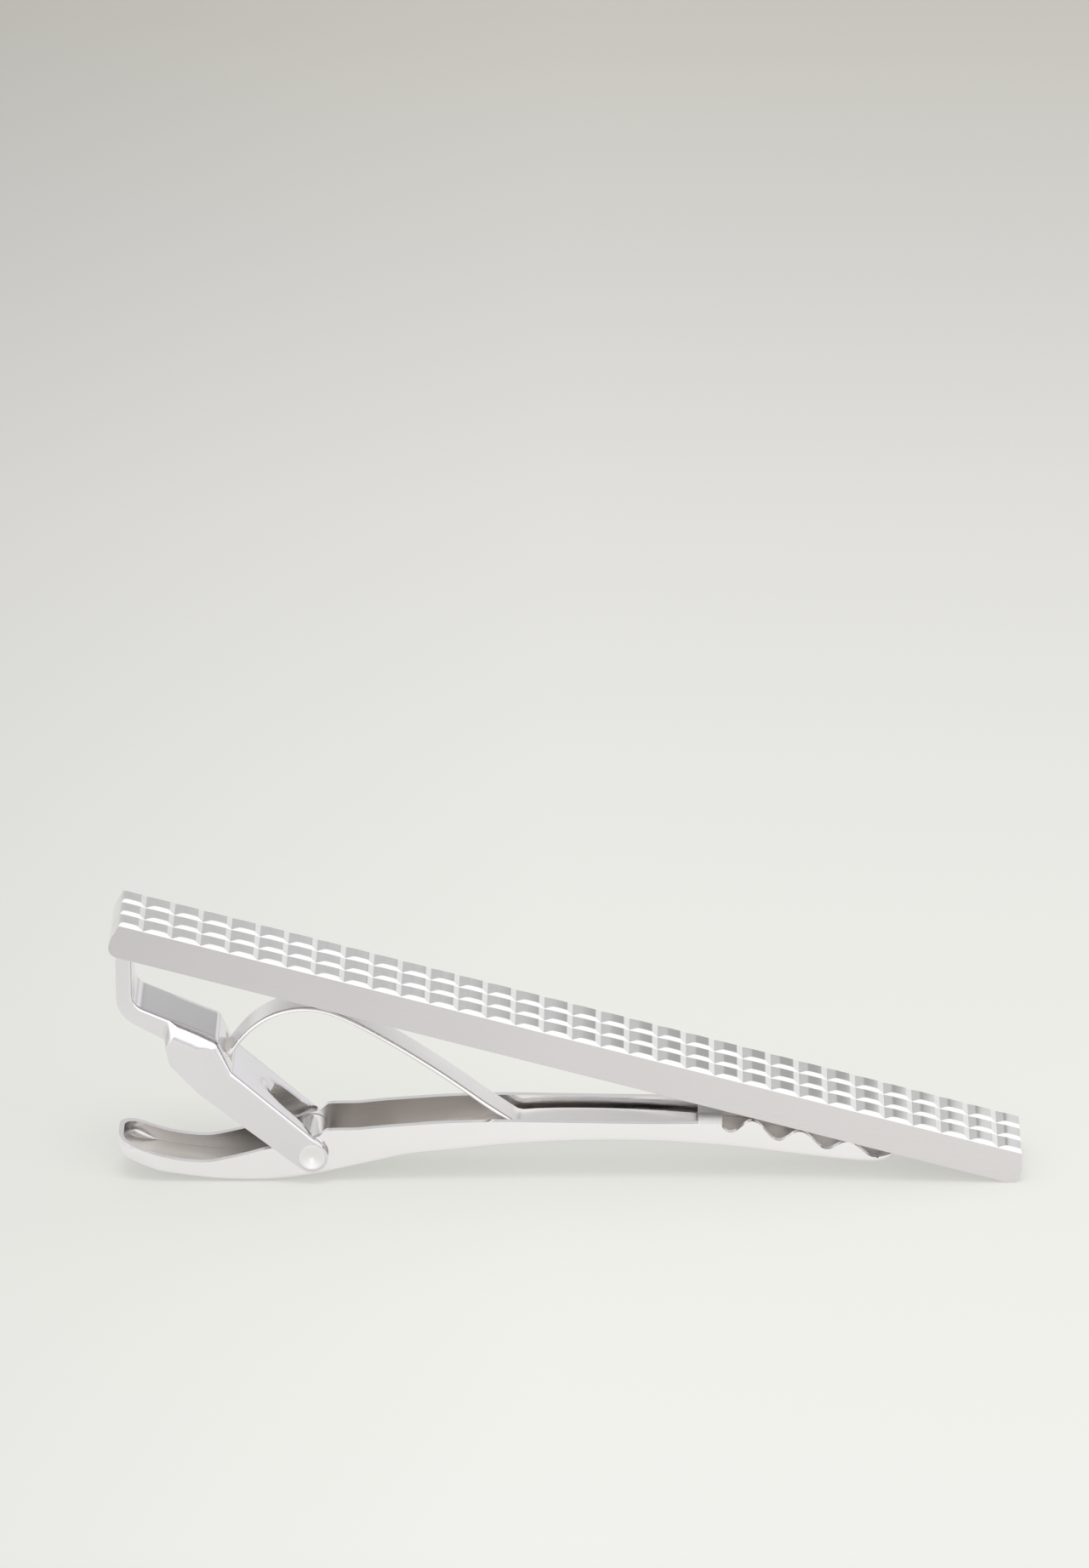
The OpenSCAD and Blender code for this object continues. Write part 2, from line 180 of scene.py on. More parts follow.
print("The table has", len(TONES_BACK_TO_FRONT), "tones in depth and", len(TONES_LEFT_TO_RIGHT), "across")

# %% The table
TABLE_SIZE = 6
GLOW, REFLECTED = 0.5, 0.37


def deselect():
    """Nothing stays selected, in object mode."""
    if bpy.context.object and bpy.context.object.mode == "EDIT":
        bpy.ops.object.mode_set(mode="OBJECT")
    bpy.ops.object.select_all(action="DESELECT")


def new_finish(name):
    """A new finish, with its node tree and the shader in it."""
    finish = bpy.data.materials.new(name)
    finish.use_nodes = True
    return finish, finish.node_tree, finish.node_tree.nodes["Principled BSDF"]


deselect()
bpy.ops.mesh.primitive_plane_add(size=TABLE_SIZE)
table = bpy.context.object
table.name = "table"
table_finish, tree, shader = new_finish("pale_table")
shader.inputs["Roughness"].default_value = 0.7
shader.inputs["Specular IOR Level"].default_value = 0.15
place = tree.nodes.new("ShaderNodeTexCoord").outputs["Object"]
# The two ramps paint the falloff of light into the table's colour, and the glow is painted light.
depth_tone = ramp_along(tree, place, "Y", -DEPTH_REACH, DEPTH_REACH, TONES_BACK_TO_FRONT)
side_tone = ramp_along(tree, place, "X", -SIDE_REACH, SIDE_REACH, TONES_LEFT_TO_RIGHT)
tone = mix_of(tree, 1, depth_tone, side_tone, "MULTIPLY")
tree.links.new(mix_of(tree, REFLECTED, (0, 0, 0, 1), tone), shader.inputs["Base Color"])
tree.links.new(tone, shader.inputs["Emission Color"])
shader.inputs["Emission Strength"].default_value = GLOW
table.data.materials.append(table_finish)
print("The table is", TABLE_SIZE, "m wide, and glows with", GLOW, "of its tone")

# %% [markdown]
# A jeweller's shot uses a big white softbox right above the piece and pale walls around it.
# The walls could be modelled, but only their tones matter, so they are the world's colour. It
# is a ramp over height, one for the back and one for the front, mixed over the depth. The back
# one is pale near the horizon, darker where the cells' flat tops look, and pale higher up.

# %% The walls of the room
BACK_TONES = ((0, 0.84), (0.14, 0.86), (0.26, 0.68), (0.33, 0.62), (0.385, 0.52), (0.45, 0.68), (0.56, 1.05),
              (1, 1.1))
FRONT_TONES = ((0, 0.85), (0.08, 1), (0.2, 1.25), (1, 1.25))
FRONT_SHARES = ((-0.15, (1, 1, 1)), (0.15, (0, 0, 0)))
bpy.context.scene.view_settings.view_transform = "Standard"
world = bpy.data.worlds.new("studio")
bpy.context.scene.world = world
world.use_nodes = True
tree = world.node_tree
direction = tree.nodes.new("ShaderNodeTexCoord").outputs["Generated"]


def warm_greys(tones, blue_share=0.99):
    """Places and grey tones as places and colours, with a little less blue."""
    return [(place, (tone, tone, blue_share*tone)) for place, tone in tones]


back_tone, front_tone = (ramp_along(tree, direction, "Z", 0, 1, warm_greys(tones))
                         for tones in (BACK_TONES, FRONT_TONES))
is_front = ramp_along(tree, direction, "Y", -1, 1, FRONT_SHARES)
tree.links.new(mix_of(tree, is_front, back_tone, front_tone), tree.nodes["Background"].inputs["Color"])
print("The walls have", len(BACK_TONES), "tones behind and", len(FRONT_TONES), "in front")

# %% [markdown]
# The softbox hangs over the camera's side of the piece, and paints the white bands on the
# cells and on the bracket's shoulder. Behind, to the right, stands one grey card with graded
# tones. Only reflections see it: the cells' flat tops mirror it, so they darken step by step
# to the right of mid-bar and clear up again at the end.

# %% The softbox and the grey card
SOFTBOX_WIDTH, SOFTBOX_DEPTH, SOFTBOX_HEIGHT, SOFTBOX_Y = 0.3, 0.24, 0.6, -0.17
SOFTBOX_TONE = 5.7
CARD_TONES = ((0.038, 0.6), (0.05, 0.5), (0.058, 0.41), (0.064, 0.41), (0.073, 0.39), (0.0785, 0.48),
              (0.0845, 0.72), (0.095, 0.74))
CARD_PLACE, CARD_WIDTH, CARD_HEIGHT = (0.0665, 0.23, 0.11), 0.057, 0.08
bpy.ops.object.light_add(type="AREA", location=(0, SOFTBOX_Y, SOFTBOX_HEIGHT),
                         rotation=(math.atan2(SOFTBOX_Y, SOFTBOX_HEIGHT), 0, 0))
softbox = bpy.context.object
softbox.name = "softbox"
softbox.data.shape = "RECTANGLE"
softbox.data.size = SOFTBOX_WIDTH
softbox.data.size_y = SOFTBOX_DEPTH
softbox.data.energy = SOFTBOX_TONE*math.pi*SOFTBOX_WIDTH*SOFTBOX_DEPTH

deselect()
bpy.ops.mesh.primitive_plane_add(size=1, location=CARD_PLACE, rotation=(math.pi/2, 0, 0))
card = bpy.context.object
card.name = "grey_card"
card.scale = (CARD_WIDTH, CARD_HEIGHT, 1)
card.visible_camera = False
card.visible_shadow = False
card.visible_diffuse = False
card_finish, tree, shader = new_finish("grey_card")
shader.inputs["Base Color"].default_value = (0, 0, 0, 1)
shader.inputs["Specular IOR Level"].default_value = 0
across = tree.nodes.new("ShaderNodeTexCoord").outputs["Object"]
card_marks = [((x - CARD_PLACE[0])/CARD_WIDTH, tone) for x, tone in CARD_TONES]
card_tone = ramp_along(tree, across, "X", -0.5, 0.5, warm_greys(card_marks, 0.98))
tree.links.new(card_tone, shader.inputs["Emission Color"])
shader.inputs["Emission Strength"].default_value = 1
card.data.materials.append(card_finish)
print("Softbox of", SOFTBOX_WIDTH, "by", SOFTBOX_DEPTH, "m,", round(softbox.data.energy, 2), "W")

# %% [markdown]
# Real plating is never a perfect mirror. Two effects are shared by all the finishes here, so
# each is a node group. The first, handling wear, mixes a soft cloud of fingering with fine
# polishing lines that run along the bar, and gives a roughness and a tiny height. The second,
# dulling, lets a colour drift slowly towards a duller one, as plating does where it is thin.

# %% Shared effects
LINE_SCALE = (600, 9000, 9000)
LINES_IN_WEAR, CLOUD_IN_HEIGHT = 0.25, 0.5


def new_group(name, inputs, outputs):
    """A shader node group with named inputs and outputs. Returns it with its two end nodes."""
    group = bpy.data.node_groups.new(name, "ShaderNodeTree")
    for label, kind, value in inputs:
        group.interface.new_socket(name=label, in_out="INPUT", socket_type=kind).default_value = value
    for label, kind in outputs:
        group.interface.new_socket(name=label, in_out="OUTPUT", socket_type=kind)
    return group, group.nodes.new("NodeGroupInput"), group.nodes.new("NodeGroupOutput")


def noise_of(tree, vector, scale, detail):
    """A noise texture's value over a vector."""
    noise = tree.nodes.new("ShaderNodeTexNoise")
    noise.inputs["Detail"].default_value = detail
    tree.links.new(vector, noise.inputs["Vector"])
    feed(tree, scale, noise.inputs["Scale"])
    return noise.outputs["Fac"]


def spread(tree, value, low, high):
    """A value's middle range drawn out between low and high, which are sockets or numbers."""
    span = tree.nodes.new("ShaderNodeMapRange")
    span.inputs["From Min"].default_value = 0.3
    span.inputs["From Max"].default_value = 0.7
    tree.links.new(value, span.inputs["Value"])
    feed(tree, low, span.inputs["To Min"])
    feed(tree, high, span.inputs["To Max"])
    return span.outputs["Result"]


def sum_of(tree, a, b, share):
    """a plus a share of b."""
    adder = tree.nodes.new("ShaderNodeMath")
    adder.operation = "MULTIPLY_ADD"
    tree.links.new(b, adder.inputs[0])
    adder.inputs[1].default_value = share
    tree.links.new(a, adder.inputs[2])
    return adder.outputs[0]


wear, wear_in, wear_out = new_group("handling_wear",
                                    (("Scale", "NodeSocketFloat", 300), ("Smooth", "NodeSocketFloat", 0.05),
                                     ("Rough", "NodeSocketFloat", 0.15)),
                                    (("Roughness", "NodeSocketFloat"), ("Height", "NodeSocketFloat")))
place = wear.nodes.new("ShaderNodeTexCoord").outputs["Object"]
cloud = noise_of(wear, place, wear_in.outputs["Scale"], 5)
stretch = wear.nodes.new("ShaderNodeMapping")
stretch.inputs["Rotation"].default_value = (0, -tilt, 0)
stretch.inputs["Scale"].default_value = LINE_SCALE
wear.links.new(place, stretch.inputs["Vector"])
lines = noise_of(wear, stretch.outputs["Vector"], 1, 3)
worn = sum_of(wear, cloud, lines, LINES_IN_WEAR)
wear.links.new(spread(wear, worn, wear_in.outputs["Smooth"], wear_in.outputs["Rough"]),
               wear_out.inputs["Roughness"])
wear.links.new(sum_of(wear, lines, cloud, CLOUD_IN_HEIGHT), wear_out.inputs["Height"])

dulling, dull_in, dull_out = new_group("dulling",
                                       (("Scale", "NodeSocketFloat", 150),
                                        ("Clean", "NodeSocketColor", (1, 1, 1, 1)),
                                        ("Dull", "NodeSocketColor", (0.8, 0.8, 0.8, 1))),
                                       (("Color", "NodeSocketColor"),))
place = dulling.nodes.new("ShaderNodeTexCoord").outputs["Object"]
patches = spread(dulling, noise_of(dulling, place, dull_in.outputs["Scale"], 4), 0, 1)
drift = mix_of(dulling, patches, dull_in.outputs["Clean"], dull_in.outputs["Dull"])
dulling.links.new(drift, dull_out.inputs["Color"])
print("Node groups:", wear.name, dulling.name)

# %% [markdown]
# Each finish is one Principled shader, set to full metal, with the two groups in front of it.
# What differs is how bright the plating is, how rough it is, and how strong the polishing
# lines are. The bar's cells are cut with a bright tool, its sides are satin. The inside of
# the jaw is rougher and slightly warm, and most of its darkness is painted shade. Where one
# part of a long piece gets more or less light than another, a ramp along the clip paints that
# light and shade into its colour.

# %% One metal finish
GRAIN_DEPTH = 0.00005
CLIP_REACH = 0.03


def shade_along(tree, colour, tones):
    """A colour times a ramp along the clip, which paints light and shade into it."""
    place = tree.nodes.new("ShaderNodeTexCoord").outputs["Object"]
    shade = ramp_along(tree, place, "X", -CLIP_REACH, CLIP_REACH, tones)
    return mix_of(tree, 1, colour, shade, "MULTIPLY")


def metal(name, clean, dull, smooth, rough, grain=0.05, scale=300, patches=150, painted_shade_along=None):
    """A metal finish out of the two shared effects, with painted shade along the clip if tones are given."""
    finish, tree, shader = new_finish(name)
    shader.inputs["Metallic"].default_value = 1
    worn = tree.nodes.new("ShaderNodeGroup")
    worn.node_tree = wear
    worn.inputs["Scale"].default_value = scale
    worn.inputs["Smooth"].default_value = smooth
    worn.inputs["Rough"].default_value = rough
    tinted = tree.nodes.new("ShaderNodeGroup")
    tinted.node_tree = dulling
    tinted.inputs["Scale"].default_value = patches
    tinted.inputs["Clean"].default_value = (*clean, 1)
    tinted.inputs["Dull"].default_value = (*dull, 1)
    bump = tree.nodes.new("ShaderNodeBump")
    bump.inputs["Strength"].default_value = grain
    bump.inputs["Distance"].default_value = GRAIN_DEPTH
    tree.links.new(worn.outputs["Height"], bump.inputs["Height"])
    tree.links.new(worn.outputs["Roughness"], shader.inputs["Roughness"])
    colour = tinted.outputs["Color"]
    if painted_shade_along:
        colour = shade_along(tree, colour, painted_shade_along)
    tree.links.new(colour, shader.inputs["Base Color"])
    tree.links.new(bump.outputs["Normal"], shader.inputs["Normal"])
    return finish


print("A finish is shaded over", 2*CLIP_REACH, "m of the clip")

# %% The finishes outside
# Painted shade along the bar's satin sides, darker towards the bar's left end.
PAINTED_SHADE_SIDES = ((-0.027, (0.88, 0.88, 0.88)), (-0.014, (0.9, 0.9, 0.9)), (0, (0.94, 0.94, 0.94)),
              (0.02, (1, 1, 1)))
# Painted shade on the spring, darker where it lies flat in the jaw's channel.
PAINTED_SHADE_SPRING = ((-0.003, (1, 1, 1)), (0.003, (0.9, 0.9, 0.91)))
bright_cut = metal("bright_cut_silver", (0.94, 0.935, 0.945), (0.9, 0.895, 0.9), smooth=0.03, rough=0.1)
satin_side = metal("satin_silver_side", (0.79, 0.768, 0.79), (0.77, 0.748, 0.765), smooth=0.24, rough=0.34,
                   grain=0.25, painted_shade_along=PAINTED_SHADE_SIDES)
folded_sheet = metal("plated_sheet", (0.845, 0.83, 0.865), (0.805, 0.79, 0.815), smooth=0.08, rough=0.16)
turned_pin = metal("turned_pin", (0.96, 0.95, 0.965), (0.9, 0.89, 0.9), smooth=0.14, rough=0.26)
polished_jaw = metal("plated_jaw", (0.975, 0.962, 0.98), (0.955, 0.94, 0.955), smooth=0.06, rough=0.14)
spring_steel = metal("spring_steel", (0.88, 0.865, 0.865), (0.84, 0.825, 0.82), smooth=0.14, rough=0.24,
                     grain=0.04, painted_shade_along=PAINTED_SHADE_SPRING)
dull_solder = metal("dull_solder", (0.55, 0.54, 0.52), (0.42, 0.41, 0.4), smooth=0.35, rough=0.55,
                    grain=0.6, scale=2000)
print("Finishes so far:", ", ".join(bpy.data.materials.keys()))

# %% The finishes inside
# Painted light and shade inside the jaw: ramps along the clip darken the inner walls and the channel floor,
# with a lighter band near the pin.
PAINTED_SHADE_INSIDE = ((-0.0265, (0.84, 0.83, 0.83)), (-0.023, (0.66, 0.65, 0.65)), (-0.0185, (0.5, 0.49, 0.49)),
                (-0.0168, (0.66, 0.64, 0.64)), (-0.0155, (0.9, 0.89, 0.89)), (-0.012, (0.84, 0.82, 0.81)),
                (0.007, (0.88, 0.87, 0.87)), (0.01, (1, 1, 1)))
# Painted shade on the channel's floor, which lies under the bar.
PAINTED_SHADE_FLOOR = ((-0.0265, (0.8, 0.78, 0.77)), (-0.019, (0.64, 0.62, 0.6)), (-0.0155, (0.85, 0.83, 0.81)),
               (-0.011, (0.62, 0.6, 0.58)), (-0.003, (0.62, 0.59, 0.57)), (0.02, (0.7, 0.67, 0.65)))
jaw_inside = metal("inside_with_painted_shade", (0.95, 0.95, 0.95), (0.86, 0.85, 0.84), smooth=0.14, rough=0.26,
                   grain=0.08, scale=260, patches=160, painted_shade_along=PAINTED_SHADE_INSIDE)
channel_floor = metal("channel_floor", (0.95, 0.93, 0.91), (0.8, 0.77, 0.74), smooth=0.2, rough=0.34,
                      grain=0.1, scale=260, patches=160, painted_shade_along=PAINTED_SHADE_FLOOR)
fold_inside = metal("fold_inside", (0.84, 0.82, 0.81), (0.74, 0.72, 0.7), smooth=0.2, rough=0.34)
for name, node in frame["nodes"].items():
    node.data.materials.clear()
    node.data.materials.append(dull_solder if name == "solder_seam" else folded_sheet)
print("CAD nodes with a plain finish until they are replaced:", len(frame["nodes"]))

# %% [markdown]
# The same few hand moves come back for every piece: pick faces by their place, apply a
# modifier, lay a grid over a form, bore a hole, and seat the finished piece. Here they are as
# short helpers. Every piece is drawn in millimetres and is seated last.

# %% Tools that lay and read
CLOSE = 0.001


def laid_grid(name, rows):
    """Lays a grid primitive over a form, one row of its vertices on each row of points."""
    deselect()
    bpy.ops.mesh.primitive_grid_add(x_subdivisions=len(rows[0]) - 1, y_subdivisions=len(rows) - 1, size=1)
    piece = bpy.context.object
    piece.name = name
    places = [place for row in rows for place in row]
    for vertex, place in zip(piece.data.vertices, places, strict=True):
        vertex.co = place
    return piece


def from_table(table, x):
    """A value read from a table of places and values, straight between its rows."""
    for (x0, v0), (x1, v1) in zip(table, table[1:]):
        if x <= x1:
            return v0 + (v1 - v0)*max(0, (x - x0)/(x1 - x0))
    return table[-1][1]


print("Points closer than", CLOSE, "mm count as one")

# %% Tools that choose and cut
BIT_SIDES, BIT_L = 64, 8


def choose(piece, kind, test):
    """Selects the vertices, edges or faces of a piece, in edit mode, that pass a test."""
    bpy.context.view_layer.objects.active = piece
    if piece.mode != "EDIT":
        bpy.ops.object.mode_set(mode="EDIT")
    bpy.ops.mesh.select_mode(type=kind)
    bpy.ops.mesh.select_all(action="DESELECT")
    mesh = bmesh.from_edit_mesh(piece.data)
    items = {"VERT": mesh.verts, "EDGE": mesh.edges, "FACE": mesh.faces}[kind]
    for item in items:
        if test(item):
            item.select_set(True)
    mesh.select_flush_mode()
    bmesh.update_edit_mesh(piece.data)


def add_modifier(piece, kind, **values):
    """Adds a modifier, sets it and applies it."""
    deselect()
    piece.select_set(True)
    bpy.context.view_layer.objects.active = piece
    made = piece.modifiers.new(kind.lower(), kind)
    for name, value in values.items():
        setattr(made, name, value)
    bpy.ops.object.modifier_apply(modifier=made.name)


def soften(piece, width, segments, angle):
    """Rounds a piece's edges that are sharper than an angle."""
    add_modifier(piece, "BEVEL", width=width, segments=segments, limit_method="ANGLE",
                 angle_limit=math.radians(angle))


def face_outward():
    """Turns the faces of the piece in edit mode outward."""
    bpy.ops.mesh.select_all(action="SELECT")
    bpy.ops.mesh.normals_make_consistent(inside=False)


def join_to(piece, *others):
    """Joins other meshes to a piece."""
    deselect()
    for other in (piece, *others):
        other.select_set(True)
    bpy.context.view_layer.objects.active = piece
    bpy.ops.object.join()


def drill(piece, radius, place):
    """Bores a round hole through a piece, across it, at a place."""
    deselect()
    bpy.ops.mesh.primitive_cylinder_add(vertices=BIT_SIDES, radius=radius, depth=BIT_L, location=place,
                                        rotation=(math.pi/2, 0, 0))
    bit = bpy.context.object
    add_modifier(piece, "BOOLEAN", operation="DIFFERENCE", object=bit, solver="EXACT")
    bpy.data.objects.remove(bit)


def seat(piece, place, smooth_angle):
    """Smooths a finished piece, and brings it from millimetres to its place in the frame."""
    deselect()
    piece.select_set(True)
    bpy.context.view_layer.objects.active = piece
    bpy.ops.object.shade_smooth_by_angle(angle=math.radians(smooth_angle))
    add_modifier(piece, "WEIGHTED_NORMAL", keep_sharp=True)
    piece.matrix_world = place @ Matrix.Scale(MM, 4)
    bpy.ops.object.transform_apply(location=True, rotation=True, scale=True)
    piece.data.name = piece.name
    print(piece.name, len(piece.data.polygons), "faces")


print("Pieces are drawn in millimetres, at a scale of", MM)

# %% [markdown]
# The face bar is solid, and its top is cut into three rows of small crowned cells. Cutting
# 96 cells one by one would be slow and uneven. One cell is made from a grid of five by three
# faces: a slope up, a crown in three strips and a slope down, with a facet falling to the
# groove on each side. The ridge before the crown is soft, the one after it is crisp.

# %% One cell of the bar
BAR_L, BAR_W, BAR_H = 55, 5.2, 2.17
COLUMNS, ROWS = 32, 3
CROWN_H, GROOVE_D, GROOVE_HALF_W = 0.15, 0.17, 0.31
RISE_SHARE, FALL_SHARE = 0.26, 0.22
SHOULDER_H, MIDDLE_H = CROWN_H - 0.01, CROWN_H - 0.002
CELL_PROFILE = ((0, 0), (RISE_SHARE, SHOULDER_H), (0.43, MIDDLE_H), (0.61, MIDDLE_H),
                (1 - FALL_SHARE, SHOULDER_H), (1, 0))
SOFT_RIDGE, CRISP_RIDGE = 0.12, 0.035
pitch_x, pitch_y = BAR_L/COLUMNS, BAR_W/ROWS
groove_z = BAR_H - GROOVE_D
deselect()
bpy.ops.mesh.primitive_grid_add(x_subdivisions=len(CELL_PROFILE) - 1, y_subdivisions=3, size=1)
bar = bpy.context.object
bar.name = "silver_bar"
for vertex in bar.data.vertices:
    column, row = round((len(CELL_PROFILE) - 1)*(vertex.co.x + 0.5)), round(3*(vertex.co.y + 0.5))
    share, rise = CELL_PROFILE[column]
    top = BAR_H - CROWN_H + rise
    inset = GROOVE_HALF_W*(top - groove_z)/GROOVE_D
    vertex.co = (pitch_x*share, (0, inset, pitch_y - inset, pitch_y)[row] - BAR_W/2,
                 top if row in (1, 2) else groove_z)
for share, width, segments in ((RISE_SHARE, SOFT_RIDGE, 4), (1 - FALL_SHARE, CRISP_RIDGE, 2)):
    choose(bar, "EDGE", lambda edge: all(abs(v.co.x - share*pitch_x) < CLOSE for v in edge.verts))
    bpy.ops.mesh.bevel(offset=width, segments=segments)
bpy.ops.object.mode_set(mode="OBJECT")
print("One cell:", len(bar.data.polygons), "faces,", round(pitch_x, 3), "by", round(pitch_y, 3), "mm")

# %% [markdown]
# Arrays repeat the cell, and the border of the finished top is pulled down to make the body:
# first straight down, then flattened onto the underside. The ends slant inward towards the
# top, so the end vertices are moved in before the border is pulled down and stretched back.

# %% The whole bar
END_CORNER_R, EDGE_R = 0.6, 0.03
END_CHAMFER, CHAMFER_DROP = 0.26, 1
add_modifier(bar, "ARRAY", count=COLUMNS, use_relative_offset=False, use_constant_offset=True,
             constant_offset_displace=(pitch_x, 0, 0), use_merge_vertices=True, merge_threshold=CLOSE)
add_modifier(bar, "ARRAY", count=ROWS, use_relative_offset=False, use_constant_offset=True,
             constant_offset_displace=(0, pitch_y, 0), use_merge_vertices=True, merge_threshold=CLOSE)
for end, inward in ((0, END_CHAMFER), (BAR_L, -END_CHAMFER)):
    choose(bar, "VERT", lambda vertex: abs(vertex.co.x - end) < CLOSE)
    bpy.ops.transform.translate(value=(inward, 0, 0))
choose(bar, "EDGE", lambda edge: edge.is_boundary)
bpy.ops.mesh.extrude_edges_move(TRANSFORM_OT_translate={"value": (0, 0, -CHAMFER_DROP)})
bpy.ops.transform.resize(value=(BAR_L/(BAR_L - 2*END_CHAMFER), 1, 1), center_override=(BAR_L/2, 0, 0))
bpy.ops.mesh.extrude_edges_move()
bpy.ops.transform.resize(value=(1, 1, 0), center_override=(0, 0, 0))
bpy.ops.mesh.edge_face_add()


def inside_a_side(edge):
    """True for the upright edges that split the body's flat sides."""
    low, high = sorted(vertex.co.z for vertex in edge.verts)
    foot = min(edge.verts, key=lambda vertex: vertex.co.z).co
    at_corner = min(foot.x, BAR_L - foot.x) < CLOSE and abs(foot.y) > BAR_W/2 - CLOSE
    return low < CLOSE and high > BAR_H/20 and not at_corner


choose(bar, "EDGE", inside_a_side)
bpy.ops.mesh.dissolve_edges(use_verts=True)
print("The body has", len(bmesh.from_edit_mesh(bar.data).faces), "faces")

# %% The bar's lower corners and finish
def on_lower_end(edge):
    """True for the bar's two short lower edges."""
    low = max(vertex.co.z for vertex in edge.verts) < CLOSE
    return low and any(all(abs(vertex.co.x - end) < CLOSE for vertex in edge.verts) for end in (0, BAR_L))


choose(bar, "EDGE", on_lower_end)
bpy.ops.mesh.bevel(offset=END_CORNER_R, segments=8)
face_outward()
bar.data.materials.append(bright_cut)
bar.data.materials.append(satin_side)
choose(bar, "FACE", lambda face: face.normal.z < 0.3 and abs(face.normal.x) < 0.9)
bar.active_material_index = 1
bpy.ops.object.material_slot_assign()
soften(bar, EDGE_R, 2, 22)
seat(bar, BAR_SEAT, 40)
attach(bar, "bar")
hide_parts("face_bar")

# %% [markdown]
# The jaw is one channel of sheet: a thumb tail shaped like a spoon, a pierced pivot and a
# nose with wavy teeth. It could be carved from a block, but sheet has one even thickness and
# soft folds, so a grid is laid over the outside of the form, row by row, and a second one a
# sheet's thickness further in, and the two are bridged along the rim. At both tips the rows
# fan round the corner, so the spoon closes as a pressed one does.

# %% The jaw's lines
CLOSED_ANGLE = math.radians(15.8)
JAW_SEAT = BAR_SEAT @ Matrix.Translation(pin_in_bar) @ Matrix.Rotation(-CLOSED_ANGLE, 4, "Y")
JAW_W, JAW_T = 4.24, 0.42
TAIL_L, NOSE_L, BELLY_D = 11.42, 34.25, 1.72
JAW_FLOOR_T, JAW_RIM_T, INNER_FOLD_R = 0.3, 0.38, 0.2
FOLD_R, TAIL_CORNER_R, NOSE_CORNER_R = 0.3, 1.5, 0.9
TAIL_BOTTOM_SHARES = ((-0.996, 0.5), (-1, 0.16), (-0.973, -0.17), (-0.906, -0.42), (-0.82, -0.58),
                      (-0.7, -0.74), (-0.52, -0.9), (-0.343, -0.965), (-0.164, -0.935), (0, -0.8))
NOSE_BOTTOM_SHARES = ((0.049, -0.57), (0.093, -0.37), (0.158, -0.07), (0.2, 0.03), (0.253, 0.13),
                      (0.324, 0.28), (0.4, 0.38), (0.49, 0.424), (0.58, 0.39), (0.66, 0.28), (0.718, 0.17),
                      (0.79, -0.02), (0.86, -0.21), (0.903, -0.32), (0.95, -0.4), (0.981, -0.38),
                      (0.996, -0.23), (1, -0.08))
TAIL_RIM_SHARES = ((-0.988, 0.54), (-0.93, 0.38), (-0.876, 0.2), (-0.765, -0.06), (-0.655, -0.21),
                   (-0.543, -0.26), (-0.453, -0.16), (-0.34, 0.02), (-0.219, 0.24), (-0.1, 0.38),
                   (-0.065, 0.41), (-0.036, 0.53), (0, 0.59))
NOSE_RIM_SHARES = ((0.008, 0.6), (0.014, 0.72), (0.02, 0.87), (0.03, 0.9), (0.05, 0.91), (0.08, 0.92),
                   (0.12, 1), (0.167, 1.07), (0.24, 1.16), (0.324, 1.19), (0.441, 1.14), (0.559, 1.09),
                   (0.66, 1.08), (0.706, 1.06))
TAB_X, TAB_L, TEETH_X = 22.61, 1.4, 24.45
FIRST_GAP, TIP_GAP = 0.45, 0.08
FIRST_NOTCH, LAST_NOTCH = 1.05, 0.55
TOOTH_PITCH = (NOSE_L - TEETH_X)/3.5


def smooth_line(points, steps=4):
    """A smooth line through its points."""
    line = []
    for i in range(len(points) - 1):
        a, b, c, d = (Vector(points[j]) for j in (max(i - 1, 0), i, i + 1, min(i + 2, len(points) - 1)))
        for step in range(steps):
            t = step/steps
            line.append(0.5*(2*b + (c - a)*t + (2*a - 5*b + 4*c - d)*t*t + (3*b - a - 3*c + d)*t**3))
    return line + [Vector(points[-1])]


def height_on(line, x):
    """The height of a line at a place along it."""
    for a, b in zip(line, line[1:]):
        if a.x <= x <= b.x:
            return a.y + (b.y - a.y)*(x - a.x)/max(b.x - a.x, 1e-9)
    return line[0].y if x < line[0].x else line[-1].y


def jaw_line(tail_shares, nose_shares):
    """One of the jaw's long lines, in millimetres from the pin."""
    return smooth_line([(x*TAIL_L, z*BELLY_D) for x, z in tail_shares]
                       + [(x*NOSE_L, z*BELLY_D) for x, z in nose_shares])


def tooth_height(x):
    """The rim's height along the teeth: a wave under the line that meets the closed bar."""
    share = (x - TEETH_X)/(NOSE_L - TEETH_X)
    gap = FIRST_GAP + (TIP_GAP - FIRST_GAP)*share
    crest = (PIN_DEPTH - gap - x*math.sin(CLOSED_ANGLE))/math.cos(CLOSED_ANGLE)
    notch = FIRST_NOTCH + (LAST_NOTCH - FIRST_NOTCH)*share
    return crest - notch*(1 + math.cos(2*math.pi*(x - TEETH_X)/TOOTH_PITCH))/2


bottom_line = jaw_line(TAIL_BOTTOM_SHARES, NOSE_BOTTOM_SHARES)
rim_line = jaw_line(TAIL_RIM_SHARES, NOSE_RIM_SHARES)


def rim_height(x):
    """The height of the jaw's rim."""
    return tooth_height(min(x, NOSE_L)) if x > TAB_X + TAB_L else height_on(rim_line, x)


first_tooth = rim_height(TEETH_X + TOOTH_PITCH/2)
print("The jaw is", round(TAIL_L + NOSE_L, 1), "mm long, its first tooth ends", round(first_tooth, 2),
      "mm above the pin")

# %% The jaw's stops
TAIL_FAN_X, NOSE_FAN_X = -9.1, 33.0
TIP_STEP, BODY_STEP = 0.2, 0.5
ARC_STEPS = 6


def lengths_along(chain):
    """The length along a chain of points, at each of them."""
    total = [0]
    for a, b in zip(chain, chain[1:]):
        total.append(total[-1] + (b - a).length)
    return total


